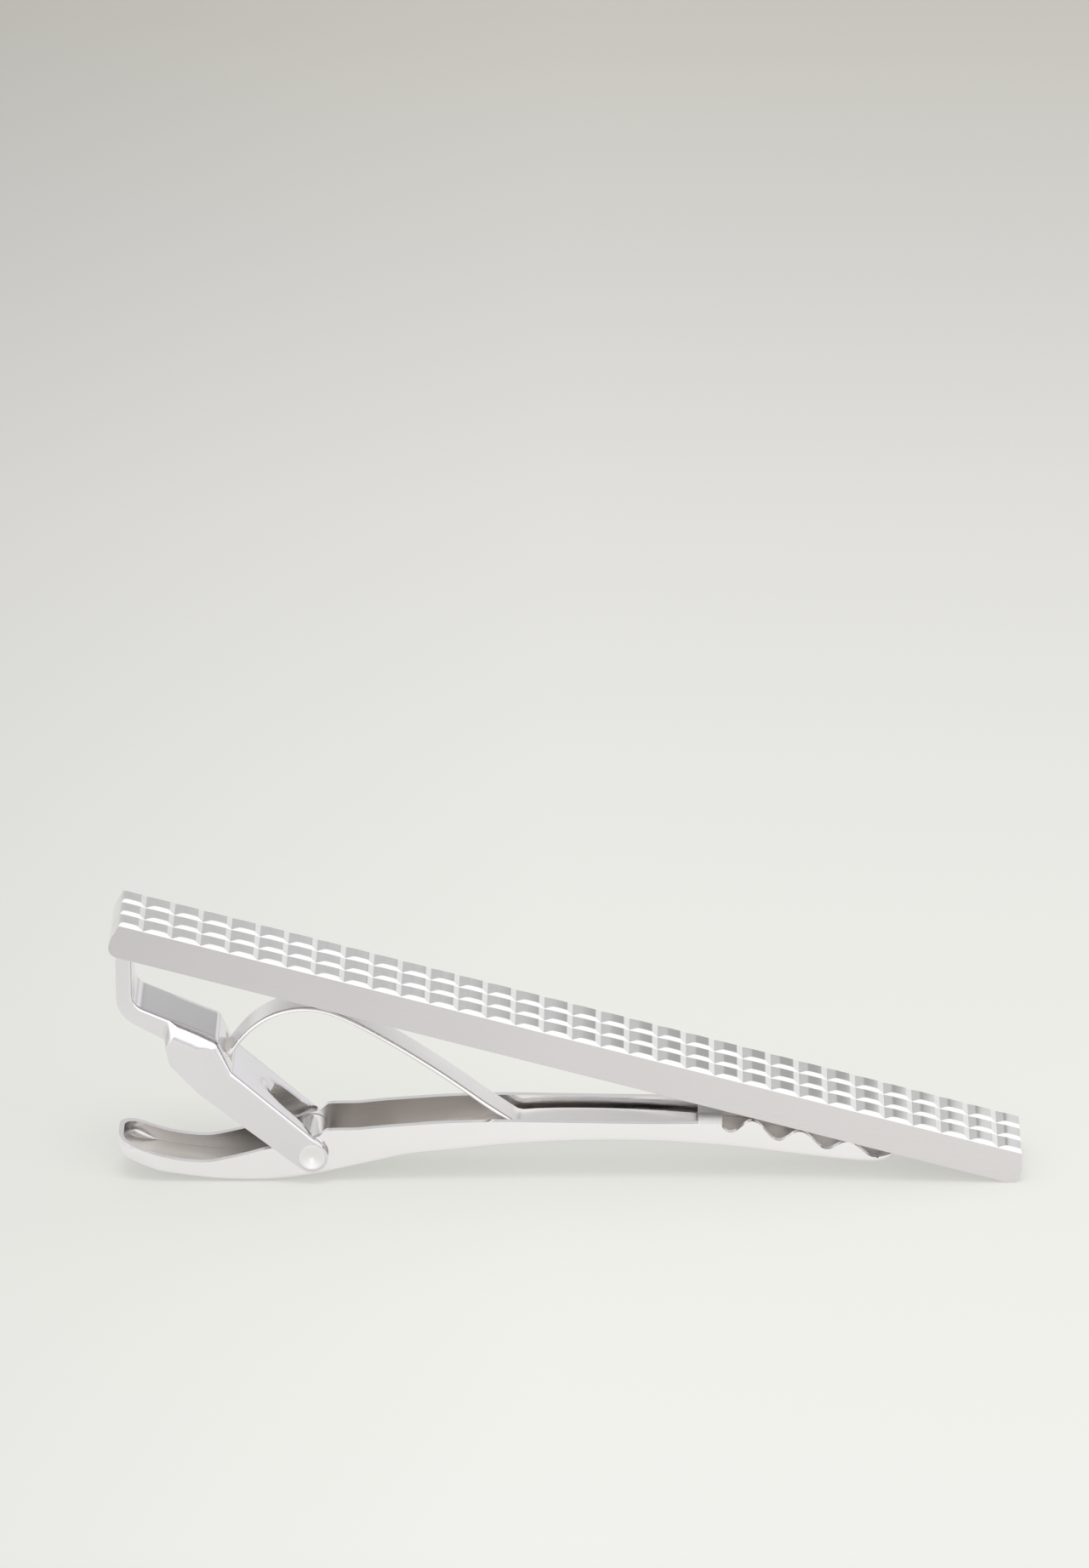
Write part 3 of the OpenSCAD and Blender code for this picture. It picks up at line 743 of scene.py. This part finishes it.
jaw_stops = []
for a, b in zip(bottom_line, bottom_line[1:]):
    step = TIP_STEP if a.x > TAB_X or a.x < TAIL_FAN_X else BODY_STEP
    count = max(1, math.ceil((b - a).length/step))
    jaw_stops += [a.lerp(b, i/count) for i in range(count)]
jaw_stops.append(bottom_line[-1])
run = lengths_along(jaw_stops)
tail_fan = next(length for length, stop in zip(run, jaw_stops) if stop.x > TAIL_FAN_X and stop.y < 0)
nose_fan = next(length for length, stop in zip(run, jaw_stops) if stop.x > NOSE_FAN_X)
print("The jaw has", len(jaw_stops), "rows")

# %% One row of the jaw
RIM_MARGIN = 0.1
ACROSS_SHARE = 0.4


def jaw_row(i, floor_t, wall_t):
    """One row of points, from the near rim down the wall, under the floor and up the far wall."""
    low = jaw_stops[i]
    at_tail = max(0, 1 - run[i]/tail_fan)
    at_nose = max(0, (run[i] - nose_fan)/(run[-1] - nose_fan))
    rim_x = low.x
    fold_across = FOLD_R
    if at_tail:
        rim_x = TAIL_FAN_X + (bottom_line[0].x + TAIL_CORNER_R + RIM_MARGIN - TAIL_FAN_X)*at_tail
        fold_across += (TAIL_CORNER_R - FOLD_R)*at_tail
    if at_nose:
        rim_x = NOSE_FAN_X + (NOSE_L - NOSE_CORNER_R - RIM_MARGIN/2 - NOSE_FAN_X)*at_nose
        fold_across += (NOSE_CORNER_R - FOLD_R)*at_nose
    rim = Vector((rim_x, rim_height(rim_x)))
    wall = rim - low
    height = wall.length
    wall.normalize()
    fold_up = min(fold_across, 0.97*height)
    floor = min(floor_t, 0.8*height)
    half = JAW_W/2 - wall_t
    across = max(fold_across - wall_t, 0.05)
    up = max(fold_up - floor, 0.02)
    if wall_t and not at_tail and not at_nose:
        across, up = min(across, INNER_FOLD_R), min(up, INNER_FOLD_R)
    near = [(half, floor + up + (height - floor - up)*share) for share in (1, 0.75, 0.5, 0.25, 0)]
    for step in range(1, ARC_STEPS + 1):
        turn = math.radians(90*step/ARC_STEPS)
        near.append((half - across + across*math.cos(turn), floor + up - up*math.sin(turn)))
    near.append((ACROSS_SHARE*(half - across), floor))
    points = [(low + wall*rise, y) for y, rise in near]
    return [Vector((p.x, -y, p.y)) for p, y in points] + [Vector((p.x, y, p.y)) for p, y in reversed(points)]


print("A row has", len(jaw_row(0, 0, 0)), "points")

# %% The jaw's two skins
PIN_HOLE_R = 0.85
FLOOR_NORMAL_Z = 0.75
jaw = laid_grid("sprung_jaw", [jaw_row(i, 0, 0) for i in range(len(jaw_stops))])
jaw.data.materials.append(polished_jaw)
jaw.data.materials.append(jaw_inside)
inside = laid_grid("jaw_inside", [jaw_row(i, JAW_FLOOR_T, JAW_RIM_T) for i in range(len(jaw_stops))])
inside.data.materials.append(jaw_inside)
inside.data.materials.append(channel_floor)
if min(jaw.data.polygons, key=lambda face: face.center.z).normal.z > 0:
    jaw.data.flip_normals()
if min(inside.data.polygons, key=lambda face: face.center.z).normal.z < 0:
    inside.data.flip_normals()
# The inner skin's upward faces get the channel floor's finish, with its painted shade.
for face in inside.data.polygons:
    face.material_index = int(face.normal.z > FLOOR_NORMAL_Z)
join_to(jaw, inside)
choose(jaw, "EDGE", lambda edge: edge.is_boundary)
bpy.ops.mesh.bridge_edge_loops()
bpy.ops.object.mode_set(mode="OBJECT")
drill(jaw, PIN_HOLE_R, (0, 0, 0))
print("The jaw's channel has", len(jaw.data.polygons), "faces")

# %% [markdown]
# Two small tabs, one from each wall, are folded over the flat end of the spring and hold it.
# They start as part of the wall, roll over at the rim and press down towards the middle.
# Each is a short laid grid with a thickness, and both walls get their own.

# %% The jaw's tabs
TAB_ROLL_R, TAB_RISE, TAB_SIDE_GAP, TAB_SUNK = 0.45, 0.26, 0.15, 0.25
STRIP_ROOM, TAB_SAG, TAB_INSET = 0.34, 0.06, 0.006
ROLL_END_Y, PRESSED_Y, JAW_EDGE_R = 1.2, 0.7, 0.06
tab_top = rim_height(TAB_X) + TAB_RISE
tab_outer = JAW_W/2 - TAB_INSET
roll_y, roll_z = tab_outer - TAB_ROLL_R, tab_top - TAB_ROLL_R
for side in (-1, 1):
    rows = []
    for share in (0, 0.5, 1):
        x = TAB_X + TAB_L*share
        pressed = height_on(bottom_line, x) + JAW_T + STRIP_ROOM + JAW_T
        row = [(tab_outer, rim_height(TAB_X) - TAB_SUNK), (tab_outer, roll_z)]
        for step in range(1, ARC_STEPS + 1):
            turn = math.radians(90*step/ARC_STEPS)
            row.append((roll_y + TAB_ROLL_R*math.cos(turn), roll_z + TAB_ROLL_R*math.sin(turn)))
        row += [(ROLL_END_Y, tab_top - TAB_SAG), (PRESSED_Y, pressed + TAB_SAG),
                (TAB_SIDE_GAP, pressed - TAB_SAG)]
        rows.append([Vector((x, side*y, z)) for y, z in row])
    tab = laid_grid("tab", rows)
    if min(tab.data.polygons, key=lambda face: -face.center.z).normal.z < 0:
        tab.data.flip_normals()
    add_modifier(tab, "SOLIDIFY", thickness=JAW_RIM_T, offset=-1, use_even_offset=True)
    join_to(jaw, tab)
soften(jaw, JAW_EDGE_R, 2, 48)
seat(jaw, JAW_SEAT, 40)
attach(jaw, "jaw")
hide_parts("jaw_lever")

# %% [markdown]
# The spring is a flat strip: its hooked end sits in the bracket's slot, it arches up under
# the bar and comes down into the jaw, where it lies flat. The CAD already holds its line, so
# the line is read off a merged copy of the CAD strip. The copy's side is one face, whose
# outline is the strip's upper and lower line, and the middle between them is taken.

# %% The leaf spring's line
SPRING_W, SPRING_T, SPRING_STEPS = 2.3, 0.26, 90


def bar_copy(node, name):
    """A merged copy of a CAD node, in millimetres in the bar's frame."""
    deselect()
    source = frame["nodes"][node]
    piece = source.copy()
    piece.data = source.data.copy()
    bpy.context.collection.objects.link(piece)
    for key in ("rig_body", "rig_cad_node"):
        del piece[key]
    piece.parent = None
    piece.name = name
    piece.select_set(True)
    bpy.context.view_layer.objects.active = piece
    piece.matrix_world = Matrix.Scale(1/MM, 4) @ BAR_SEAT.inverted()
    bpy.ops.object.transform_apply(location=True, rotation=True, scale=True)
    bpy.ops.object.mode_set(mode="EDIT")
    bpy.ops.mesh.select_all(action="SELECT")
    bpy.ops.mesh.remove_doubles(threshold=2*CLOSE)
    bpy.ops.mesh.dissolve_limited(angle_limit=math.radians(0.5))
    bpy.ops.object.mode_set(mode="OBJECT")
    return piece


guide = bar_copy("leaf_spring", "spring_guide")
side = max(guide.data.polygons, key=lambda face: -face.normal.y*face.area)
outline = [guide.data.vertices[i].co.copy() for i in side.vertices]
bpy.data.objects.remove(guide)
by_end = sorted(range(len(outline)), key=lambda i: abs((outline[i] - outline[i - 1]).length - SPRING_T))
first, second = sorted(by_end[:2])
upper, lower = outline[first:second], (outline[second:] + outline[:first])[::-1]


def point_along(chain, length):
    """The point at a given length along a chain."""
    for a, b in zip(chain, chain[1:]):
        step = (b - a).length
        if length <= step:
            return a.lerp(b, length/max(step, 1e-9))
        length -= step
    return chain[-1]


upper_length, lower_length = lengths_along(upper)[-1], lengths_along(lower)[-1]
spring_line = []
for i in range(SPRING_STEPS + 1):
    above, below = (point_along(chain, length*i/SPRING_STEPS)
                    for chain, length in ((upper, upper_length), (lower, lower_length)))
    spring_line.append((above + below)/2)
if spring_line[0].x > spring_line[-1].x:
    spring_line.reverse()
print("The spring is", round(lengths_along(spring_line)[-1], 1), "mm long along its line")

# %% [markdown]
# The strip itself is rings laid along that line, flat above and below with half-round edges,
# because a sheared and tumbled strip has soft edges that catch the light. It is settled into
# the bracket's slot and onto the jaw's floor.

# %% The leaf spring's strip
HOOK_X, HOOK_DROP = 13, 0.2
FALL_FROM_X, LANDING_X, LANDING_SHIFT, FLAT_DROP = 15, 27, 0.85, 0.4
SPRING_ROUND_W, SPRING_ARC, SPRING_EDGE_LOW = 0.2, 4, 0.07


def settled(place):
    """A point of the spring's line, moved so that the strip meets its slot and lies on the floor."""
    share = min(1, max(0, (place.x - FALL_FROM_X)/(LANDING_X - FALL_FROM_X)))
    ease = share*share*(3 - 2*share)
    hooked = max(0, 1 - (place.x - spring_line[0].x)/(HOOK_X - spring_line[0].x))**2
    return Vector((place.x - LANDING_SHIFT*ease, 0, place.z - FLAT_DROP*ease - HOOK_DROP*hooked))


def spring_ring(before, place, after):
    """One closed ring round the strip, flat above and below, with half-round edges."""
    along = (after - before).normalized()
    up = Vector((-along.z, 0, along.x))
    ring = []
    for side in (-1, 1):
        for step in range(2*SPRING_ARC + 1):
            turn = side*math.pi*(step/(2*SPRING_ARC) - 0.5)
            y = side*(SPRING_W/2 - SPRING_ROUND_W + SPRING_ROUND_W*math.cos(turn))
            rise = SPRING_T/2 + math.copysign(SPRING_EDGE_LOW, math.sin(turn))
            ring.append(place + Vector((0, y, 0)) + up*(rise*math.sin(turn) - SPRING_EDGE_LOW))
    return ring + ring[:1]


settled_line = [settled(place) for place in spring_line]
neighbours = zip(settled_line[:1] + settled_line, settled_line, settled_line[1:] + settled_line[-1:])
spring = laid_grid("leaf_spring_strip", [spring_ring(*three) for three in neighbours])
choose(spring, "VERT", lambda vertex: True)
bpy.ops.mesh.remove_doubles(threshold=CLOSE)
for end in (settled_line[0], settled_line[-1]):
    choose(spring, "EDGE", lambda edge: edge.is_boundary
           and all((Vector((v.co.x, 0, v.co.z)) - end).length < 0.6*SPRING_T for v in edge.verts))
    bpy.ops.mesh.edge_face_add()
face_outward()
bpy.ops.object.mode_set(mode="OBJECT")
spring.data.materials.append(spring_steel)
seat(spring, BAR_SEAT, 40)
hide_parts("leaf_spring")
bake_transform(spring)

# %% [markdown]
# The bracket is one stamped sheet, folded down on both sides: a post soldered under the bar,
# a shelf, a step out to two ears, and a leg with a window over the pin. Folding a flat sheet
# would leave odd corners where the folds meet, so a grid is laid over its outer face instead.
# Two lines guide it: the web's line in the middle, and the lower edge of flange and ear.

# %% The bracket's sizes
POST_X, POST_LEAN, POST_W, EAR_W, BRACKET_T = 1.5, math.radians(15), 4.1, 5.12, 0.36
SHELF_DROP, SHELF_FALL, SHELF_END_X, STEP_X = 2.94, 0.81, 7.65, 4.65
FLANGE_D, FLANGE_END_D, EAR_R = 0.93, 1.25, 0.95
LEG_SLOPE, LEG_L, LEG_STOP = math.radians(26.5), 7.03, 0.9
POST_BEND_R, SHELF_BEND_R, LEG_BEND_R, SOLDER_T = 1, 0.65, 0.6, 0.08
EAR_HEEL, EAR_KNEE = Vector((5.3, -5.8)), Vector((7.39, -7.15))
EAR_END_STEPS = 20
print("The bracket's sheet is", BRACKET_T, "mm thick, and", EAR_W, "mm wide over the ears")

# %% The web's line
def rounded_path(points, radii, steps=8):
    """A chain of straight runs with every inner corner rounded to its own radius."""
    points = [Vector(p) for p in points]
    chain = [points[0]]
    for a, b, c, r in zip(points, points[1:], points[2:], radii):
        u, v = (b - a).normalized(), (c - b).normalized()
        turn = math.atan2(u.x*v.y - u.y*v.x, u.dot(v))
        side = 1 if turn > 0 else -1
        centre = b - u*r*math.tan(abs(turn)/2) + side*r*Vector((-u.y, u.x))
        arm = -side*r*Vector((-u.y, u.x))
        chain += [centre + Matrix.Rotation(turn*i/steps, 2) @ arm for i in range(steps + 1)]
    return chain + [points[-1]]


pin = Vector((PIN_X, -PIN_DEPTH))
leg_dir = Vector((math.cos(LEG_SLOPE), -math.sin(LEG_SLOPE)))
leg_touch = pin + EAR_R*Vector((math.sin(LEG_SLOPE), math.cos(LEG_SLOPE)))
leg_top = leg_touch - LEG_L*leg_dir
leg_end = leg_touch - LEG_STOP*leg_dir
post_top = Vector((POST_X + SOLDER_T*math.tan(POST_LEAN), -SOLDER_T))
shelf_start = Vector((POST_X + SHELF_DROP*math.tan(POST_LEAN), -SHELF_DROP))
shelf_end = Vector((SHELF_END_X, -SHELF_DROP - SHELF_FALL))
web_chain = rounded_path([post_top, shelf_start, shelf_end, leg_top, leg_touch],
                         [POST_BEND_R, SHELF_BEND_R, LEG_BEND_R])
print("The web is", round(lengths_along(web_chain)[-1], 2), "mm long from the bar to the pin")

# %% The lower edge
post_dir = (shelf_start - post_top).normalized()
shelf_dir = (shelf_end - shelf_start).normalized()
flange_turn = post_dir.angle_signed(shelf_dir)
flange_corner = shelf_start + FLANGE_D*((post_dir - shelf_dir)/math.sin(abs(flange_turn)))
flange_top = Vector((post_top.x - FLANGE_D/math.cos(POST_LEAN), -SOLDER_T))
step_top_z = shelf_start.y + (STEP_X - shelf_start.x)*shelf_dir.y/shelf_dir.x
step_bottom = Vector((STEP_X, step_top_z - FLANGE_END_D))
knee_to_pin = pin - EAR_KNEE
under_angle = math.atan2(knee_to_pin.y, knee_to_pin.x) - math.asin(EAR_R/knee_to_pin.length)
ear_under = pin + EAR_R*Vector((math.sin(under_angle), -math.cos(under_angle)))
end_turn = math.pi/2 - LEG_SLOPE - (under_angle - math.pi/2)
ear_end = [pin + Matrix.Rotation(end_turn*i/EAR_END_STEPS, 2) @ (ear_under - pin)
           for i in range(1, EAR_END_STEPS + 1)]
lower_chain = rounded_path([flange_top, flange_corner, step_bottom, EAR_HEEL, EAR_KNEE, ear_under],
                           [POST_BEND_R + FLANGE_D, BRACKET_T, EAR_R, EAR_R]) + ear_end
lower_lengths = lengths_along(lower_chain)
print("The lower edge is", round(lower_lengths[-1], 2), "mm long")

# %% [markdown]
# Each row of the grid joins a place on the web to a place on the lower edge, so the two lines
# are paired at nine places and read in between. Tables then say, along the bracket, how wide
# it is, how far its shoulders are rounded, how the sheet dips towards the window, and where
# the window's edge runs. The far shoulder of the leg is rounder than the near one.

# %% Pairs and tables along the bracket
SLOT_FROM_X, SLOT_TO_X, SLOT_HALF_W = 8.22, 8.86, 1.2
WINDOW_START, DISH_L = 2.4, 0.8
STEP_FROM, STEP_TO = 4.6, 5.15


def length_near(point):
    """The length along the lower edge at its point that is nearest to a given one."""
    return lower_lengths[min(range(len(lower_chain)), key=lambda i: (lower_chain[i] - point).length)]


bend_reach = POST_BEND_R*math.tan(abs(flange_turn)/2)
PAIRS = ((post_top.x, flange_top), ((shelf_start - bend_reach*post_dir).x, lower_chain[1]),
         ((shelf_start + bend_reach*shelf_dir).x, lower_chain[9]), (STEP_X - 0.25, step_bottom),
         (7.2, EAR_HEEL), (8.2, Vector((6.3, -6.45))), (9.6, EAR_KNEE),
         (leg_end.x - 0.4, ear_under), (leg_touch.x, lower_chain[-1]))
pair_table = [(x, length_near(point)) for x, point in PAIRS]
HALF_W_TABLE = ((STEP_FROM, POST_W/2), (STEP_TO, EAR_W/2), (20, EAR_W/2))
ROUND_W_TABLE = ((1, 0.2), (STEP_FROM, 0.2), (STEP_TO, 0.75), (7.1, 0.8), (8, 0.55), (8.9, 0.28),
                 (9.5, 0.2), (leg_end.x, 0.2), (leg_touch.x, 0.05))
FAR_ROUND_W_TABLE = ((1, 0.2), (STEP_FROM, 0.2), (STEP_TO, 0.75), (12, 0.6), (leg_end.x, 0.5),
                     (leg_touch.x, 0.05))
ROUND_H_TABLE = ((1, 0.2), (STEP_FROM, 0.2), (STEP_TO, 0.95), (6.6, 0.95), (7.1, 0.64), (8, 0.5),
                 (8.9, 0.28), (9.5, 0.2), (leg_end.x, 0.2), (leg_touch.x, 0.03))
DISH_TABLE = ((WINDOW_START - 0.4, 0), (WINDOW_START - 0.1, 0.03), (WINDOW_START + 0.2, 0.12),
              (WINDOW_START + 0.5, 0.26), (WINDOW_START + DISH_L, 0.42))
WINDOW_EDGE_TABLE = ((1, SLOT_HALF_W), (1.8, 0.8), (2.6, 0.85), (3.2, 0.98), (3.6, 1.14), (4.2, 1.25),
                     (5.2, 1.32), (5.8, 1.6), (6.15, 2))
# Each column across the web has a share of the window's edge, and one of the dish's depth.
COLUMN_SHARES = ((1.3, 0), (1.18, 0.03), (1.04, 0.1), (0.7, 0.45), (0.35, 1))
window_x = (leg_top + WINDOW_START*leg_dir).x
print("The dip towards the window starts", round(window_x, 2), "mm along the bar")

# %% The bracket's stops
STEP_LEAD, DISH_LEAD, DISH_TRAIL = 0.06, 0.36, 0.9*DISH_L
FINE_STEP, PLAIN_STEP = 0.1, 0.2
FINE_PLACES = ((STEP_FROM - 0.1, STEP_TO), (window_x - 0.4, window_x + 1.4))


def split_at(chain, places):
    """The same chain with a point wherever it crosses one of the given places."""
    for x in places:
        i = next(i for i in range(len(chain) - 1) if chain[i].x < x < chain[i + 1].x)
        share = (x - chain[i].x)/(chain[i + 1].x - chain[i].x)
        chain = chain[:i + 1] + [chain[i].lerp(chain[i + 1], share)] + chain[i + 1:]
    return chain


web_chain = split_at(web_chain, (STEP_FROM - STEP_LEAD, STEP_FROM, STEP_TO, STEP_TO + STEP_LEAD, SLOT_FROM_X,
                                 SLOT_TO_X, window_x - DISH_LEAD, window_x + DISH_TRAIL))
stops = []
for a, b in zip(web_chain, web_chain[1:]):
    step = FINE_STEP if any(start < a.x < end for start, end in FINE_PLACES) else PLAIN_STEP
    count = max(1, math.ceil((b - a).length/step))
    stops += [a.lerp(b, i/count) for i in range(count)]
stops.append(web_chain[-1])
print("The bracket has", len(stops), "rows")

# %% One row of the bracket
EAR_SHARES = (0, 0.5, 0.85, 1)
WEB_MARGIN = 0.05


def bracket_ring(i):
    """One row of points over the sheet's outer face: up one ear, over the web and down the other."""
    place = stops[i]
    along = (stops[min(i + 1, len(stops) - 1)] - stops[max(i - 1, 0)]).normalized()
    up = Vector((-along.y, along.x))
    half = from_table(HALF_W_TABLE, place.x)
    round_h = from_table(ROUND_H_TABLE, place.x)
    shoulder = place - round_h*up
    low = point_along(lower_chain, from_table(pair_table, place.x))
    after = (place - leg_top).dot(leg_dir)
    ring = []
    for side, table in ((-1, ROUND_W_TABLE), (1, FAR_ROUND_W_TABLE)):
        round_w = from_table(table, place.x)
        web_half = (half - round_w - WEB_MARGIN)/COLUMN_SHARES[0][0]
        edge = min(from_table(WINDOW_EDGE_TABLE, after), web_half)
        row = [(low.lerp(shoulder, share), half) for share in EAR_SHARES]
        for step in range(1, ARC_STEPS + 1):
            turn = math.radians(90*step/ARC_STEPS)
            row.append((shoulder + up*round_h*math.sin(turn), half - round_w + round_w*math.cos(turn)))
        for across, share in COLUMN_SHARES:
            row.append((place - up*share*from_table(DISH_TABLE, after), edge*across))
        ring += [Vector((p.x, side*y, p.y)) for p, y in row[::-side]]
    return ring


bracket = laid_grid("folded_bracket", [bracket_ring(i) for i in range(len(stops))])
print("The bracket's outer face has", len(bracket.data.polygons), "faces")

# %% [markdown]
# The openings are made in the grid before it gets its thickness, as a stamped sheet is pierced
# before it is folded. Solidify then adds the thickness on the inside, with the duller finish
# of a surface that no wheel reaches. Offsetting crowds the inner vertices behind the step, so
# they are smoothed there. The pin's hole goes through both ears at once.

# %% The bracket's openings
EAR_FOLD_W = 0.3


def is_open(face):
    """True for a face in the window, in the spring's slot or past the end of the web."""
    centre = face.calc_center_median()
    flat = Vector((centre.x, centre.z))
    after = (flat - leg_top).dot(leg_dir)
    in_window = abs(centre.y) < from_table(WINDOW_EDGE_TABLE, after) and after > WINDOW_START + DISH_L
    in_slot = abs(centre.y) < SLOT_HALF_W and SLOT_FROM_X < centre.x < SLOT_TO_X
    past_web = abs(centre.y) < EAR_W/2 - EAR_FOLD_W and (flat - leg_end).dot(leg_dir) > 0
    return in_window or in_slot or past_web


choose(bracket, "FACE", is_open)
bpy.ops.mesh.delete(type="FACE")
face_outward()
bpy.ops.object.mode_set(mode="OBJECT")
print("Pierced, it has", len(bracket.data.polygons), "faces")

# %% The bracket's thickness and finish
EAR_HOLE_R, BRACKET_EDGE_R = 0.805, 0.025
LINING_FROM_X, LINING_TO_X = STEP_FROM - 0.5, STEP_TO + 1.4
near_face = min(bracket.data.polygons, key=lambda face: face.center.y)
if near_face.normal.y > 0:
    bracket.data.flip_normals()
bracket.data.materials.append(folded_sheet)
bracket.data.materials.append(fold_inside)
add_modifier(bracket, "SOLIDIFY", thickness=BRACKET_T, offset=-1, use_even_offset=True, thickness_clamp=5,
             material_offset=1)


def in_step_lining(vertex):
    """True for the inner skin's vertices behind the step."""
    lining = any(face.material_index == 1 for face in vertex.link_faces)
    return lining and LINING_FROM_X < vertex.co.x < LINING_TO_X


choose(bracket, "VERT", in_step_lining)
bpy.ops.mesh.vertices_smooth(factor=0.5, repeat=14)
bpy.ops.object.mode_set(mode="OBJECT")
drill(bracket, EAR_HOLE_R, (PIN_X, 0, -PIN_DEPTH))
soften(bracket, BRACKET_EDGE_R, 2, 40)
seat(bracket, BAR_SEAT, 35)
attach(bracket, "bar")
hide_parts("bracket")

# %% [markdown]
# The hinge pin is turned from rod. Its thick middle keeps the jaw's walls apart, its thinner
# ends fill the ears' holes, and a cone sunk into each end lets it be spread in its hole. It
# starts as a cylinder, and the same inset and extrude steps shape both ends.

# %% The hinge pin
PIN_R, SHOULDER_R, SHOULDER_W, DIMPLE_R, DIMPLE_D = 0.8, 0.9, 3.36, 0.68, 0.17
PIN_SIDES, CONE_TIP_SHARE, PIN_EDGE_R = 48, 0.12, 0.03
deselect()
bpy.ops.mesh.primitive_cylinder_add(vertices=PIN_SIDES, radius=SHOULDER_R, depth=SHOULDER_W,
                                    location=(PIN_X, 0, -PIN_DEPTH), rotation=(math.pi/2, 0, 0))
rivet = bpy.context.object
rivet.name = "rivet_pin"
bpy.ops.object.transform_apply(location=True, rotation=True, scale=True)
choose(rivet, "FACE", lambda face: abs(face.normal.y) > 0.9)
bpy.ops.mesh.inset(thickness=SHOULDER_R - PIN_R)
for end in (-1, 1):
    choose(rivet, "FACE", lambda face: face.normal.y*end > 0.9 and len(face.verts) > 8)
    bpy.ops.mesh.extrude_region_move(TRANSFORM_OT_translate={"value": (0, end*(EAR_W - SHOULDER_W)/2, 0)})
    bpy.ops.mesh.inset(thickness=PIN_R - DIMPLE_R)
    bpy.ops.mesh.extrude_region_move(TRANSFORM_OT_translate={"value": (0, -end*DIMPLE_D, 0)})
    bpy.ops.transform.resize(value=(CONE_TIP_SHARE, 1, CONE_TIP_SHARE),
                             center_override=(PIN_X, 0, -PIN_DEPTH))
rivet.data.materials.append(turned_pin)
soften(rivet, PIN_EDGE_R, 3, 30)
seat(rivet, BAR_SEAT, 10)
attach(rivet, "bar")
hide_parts("hinge_pin")
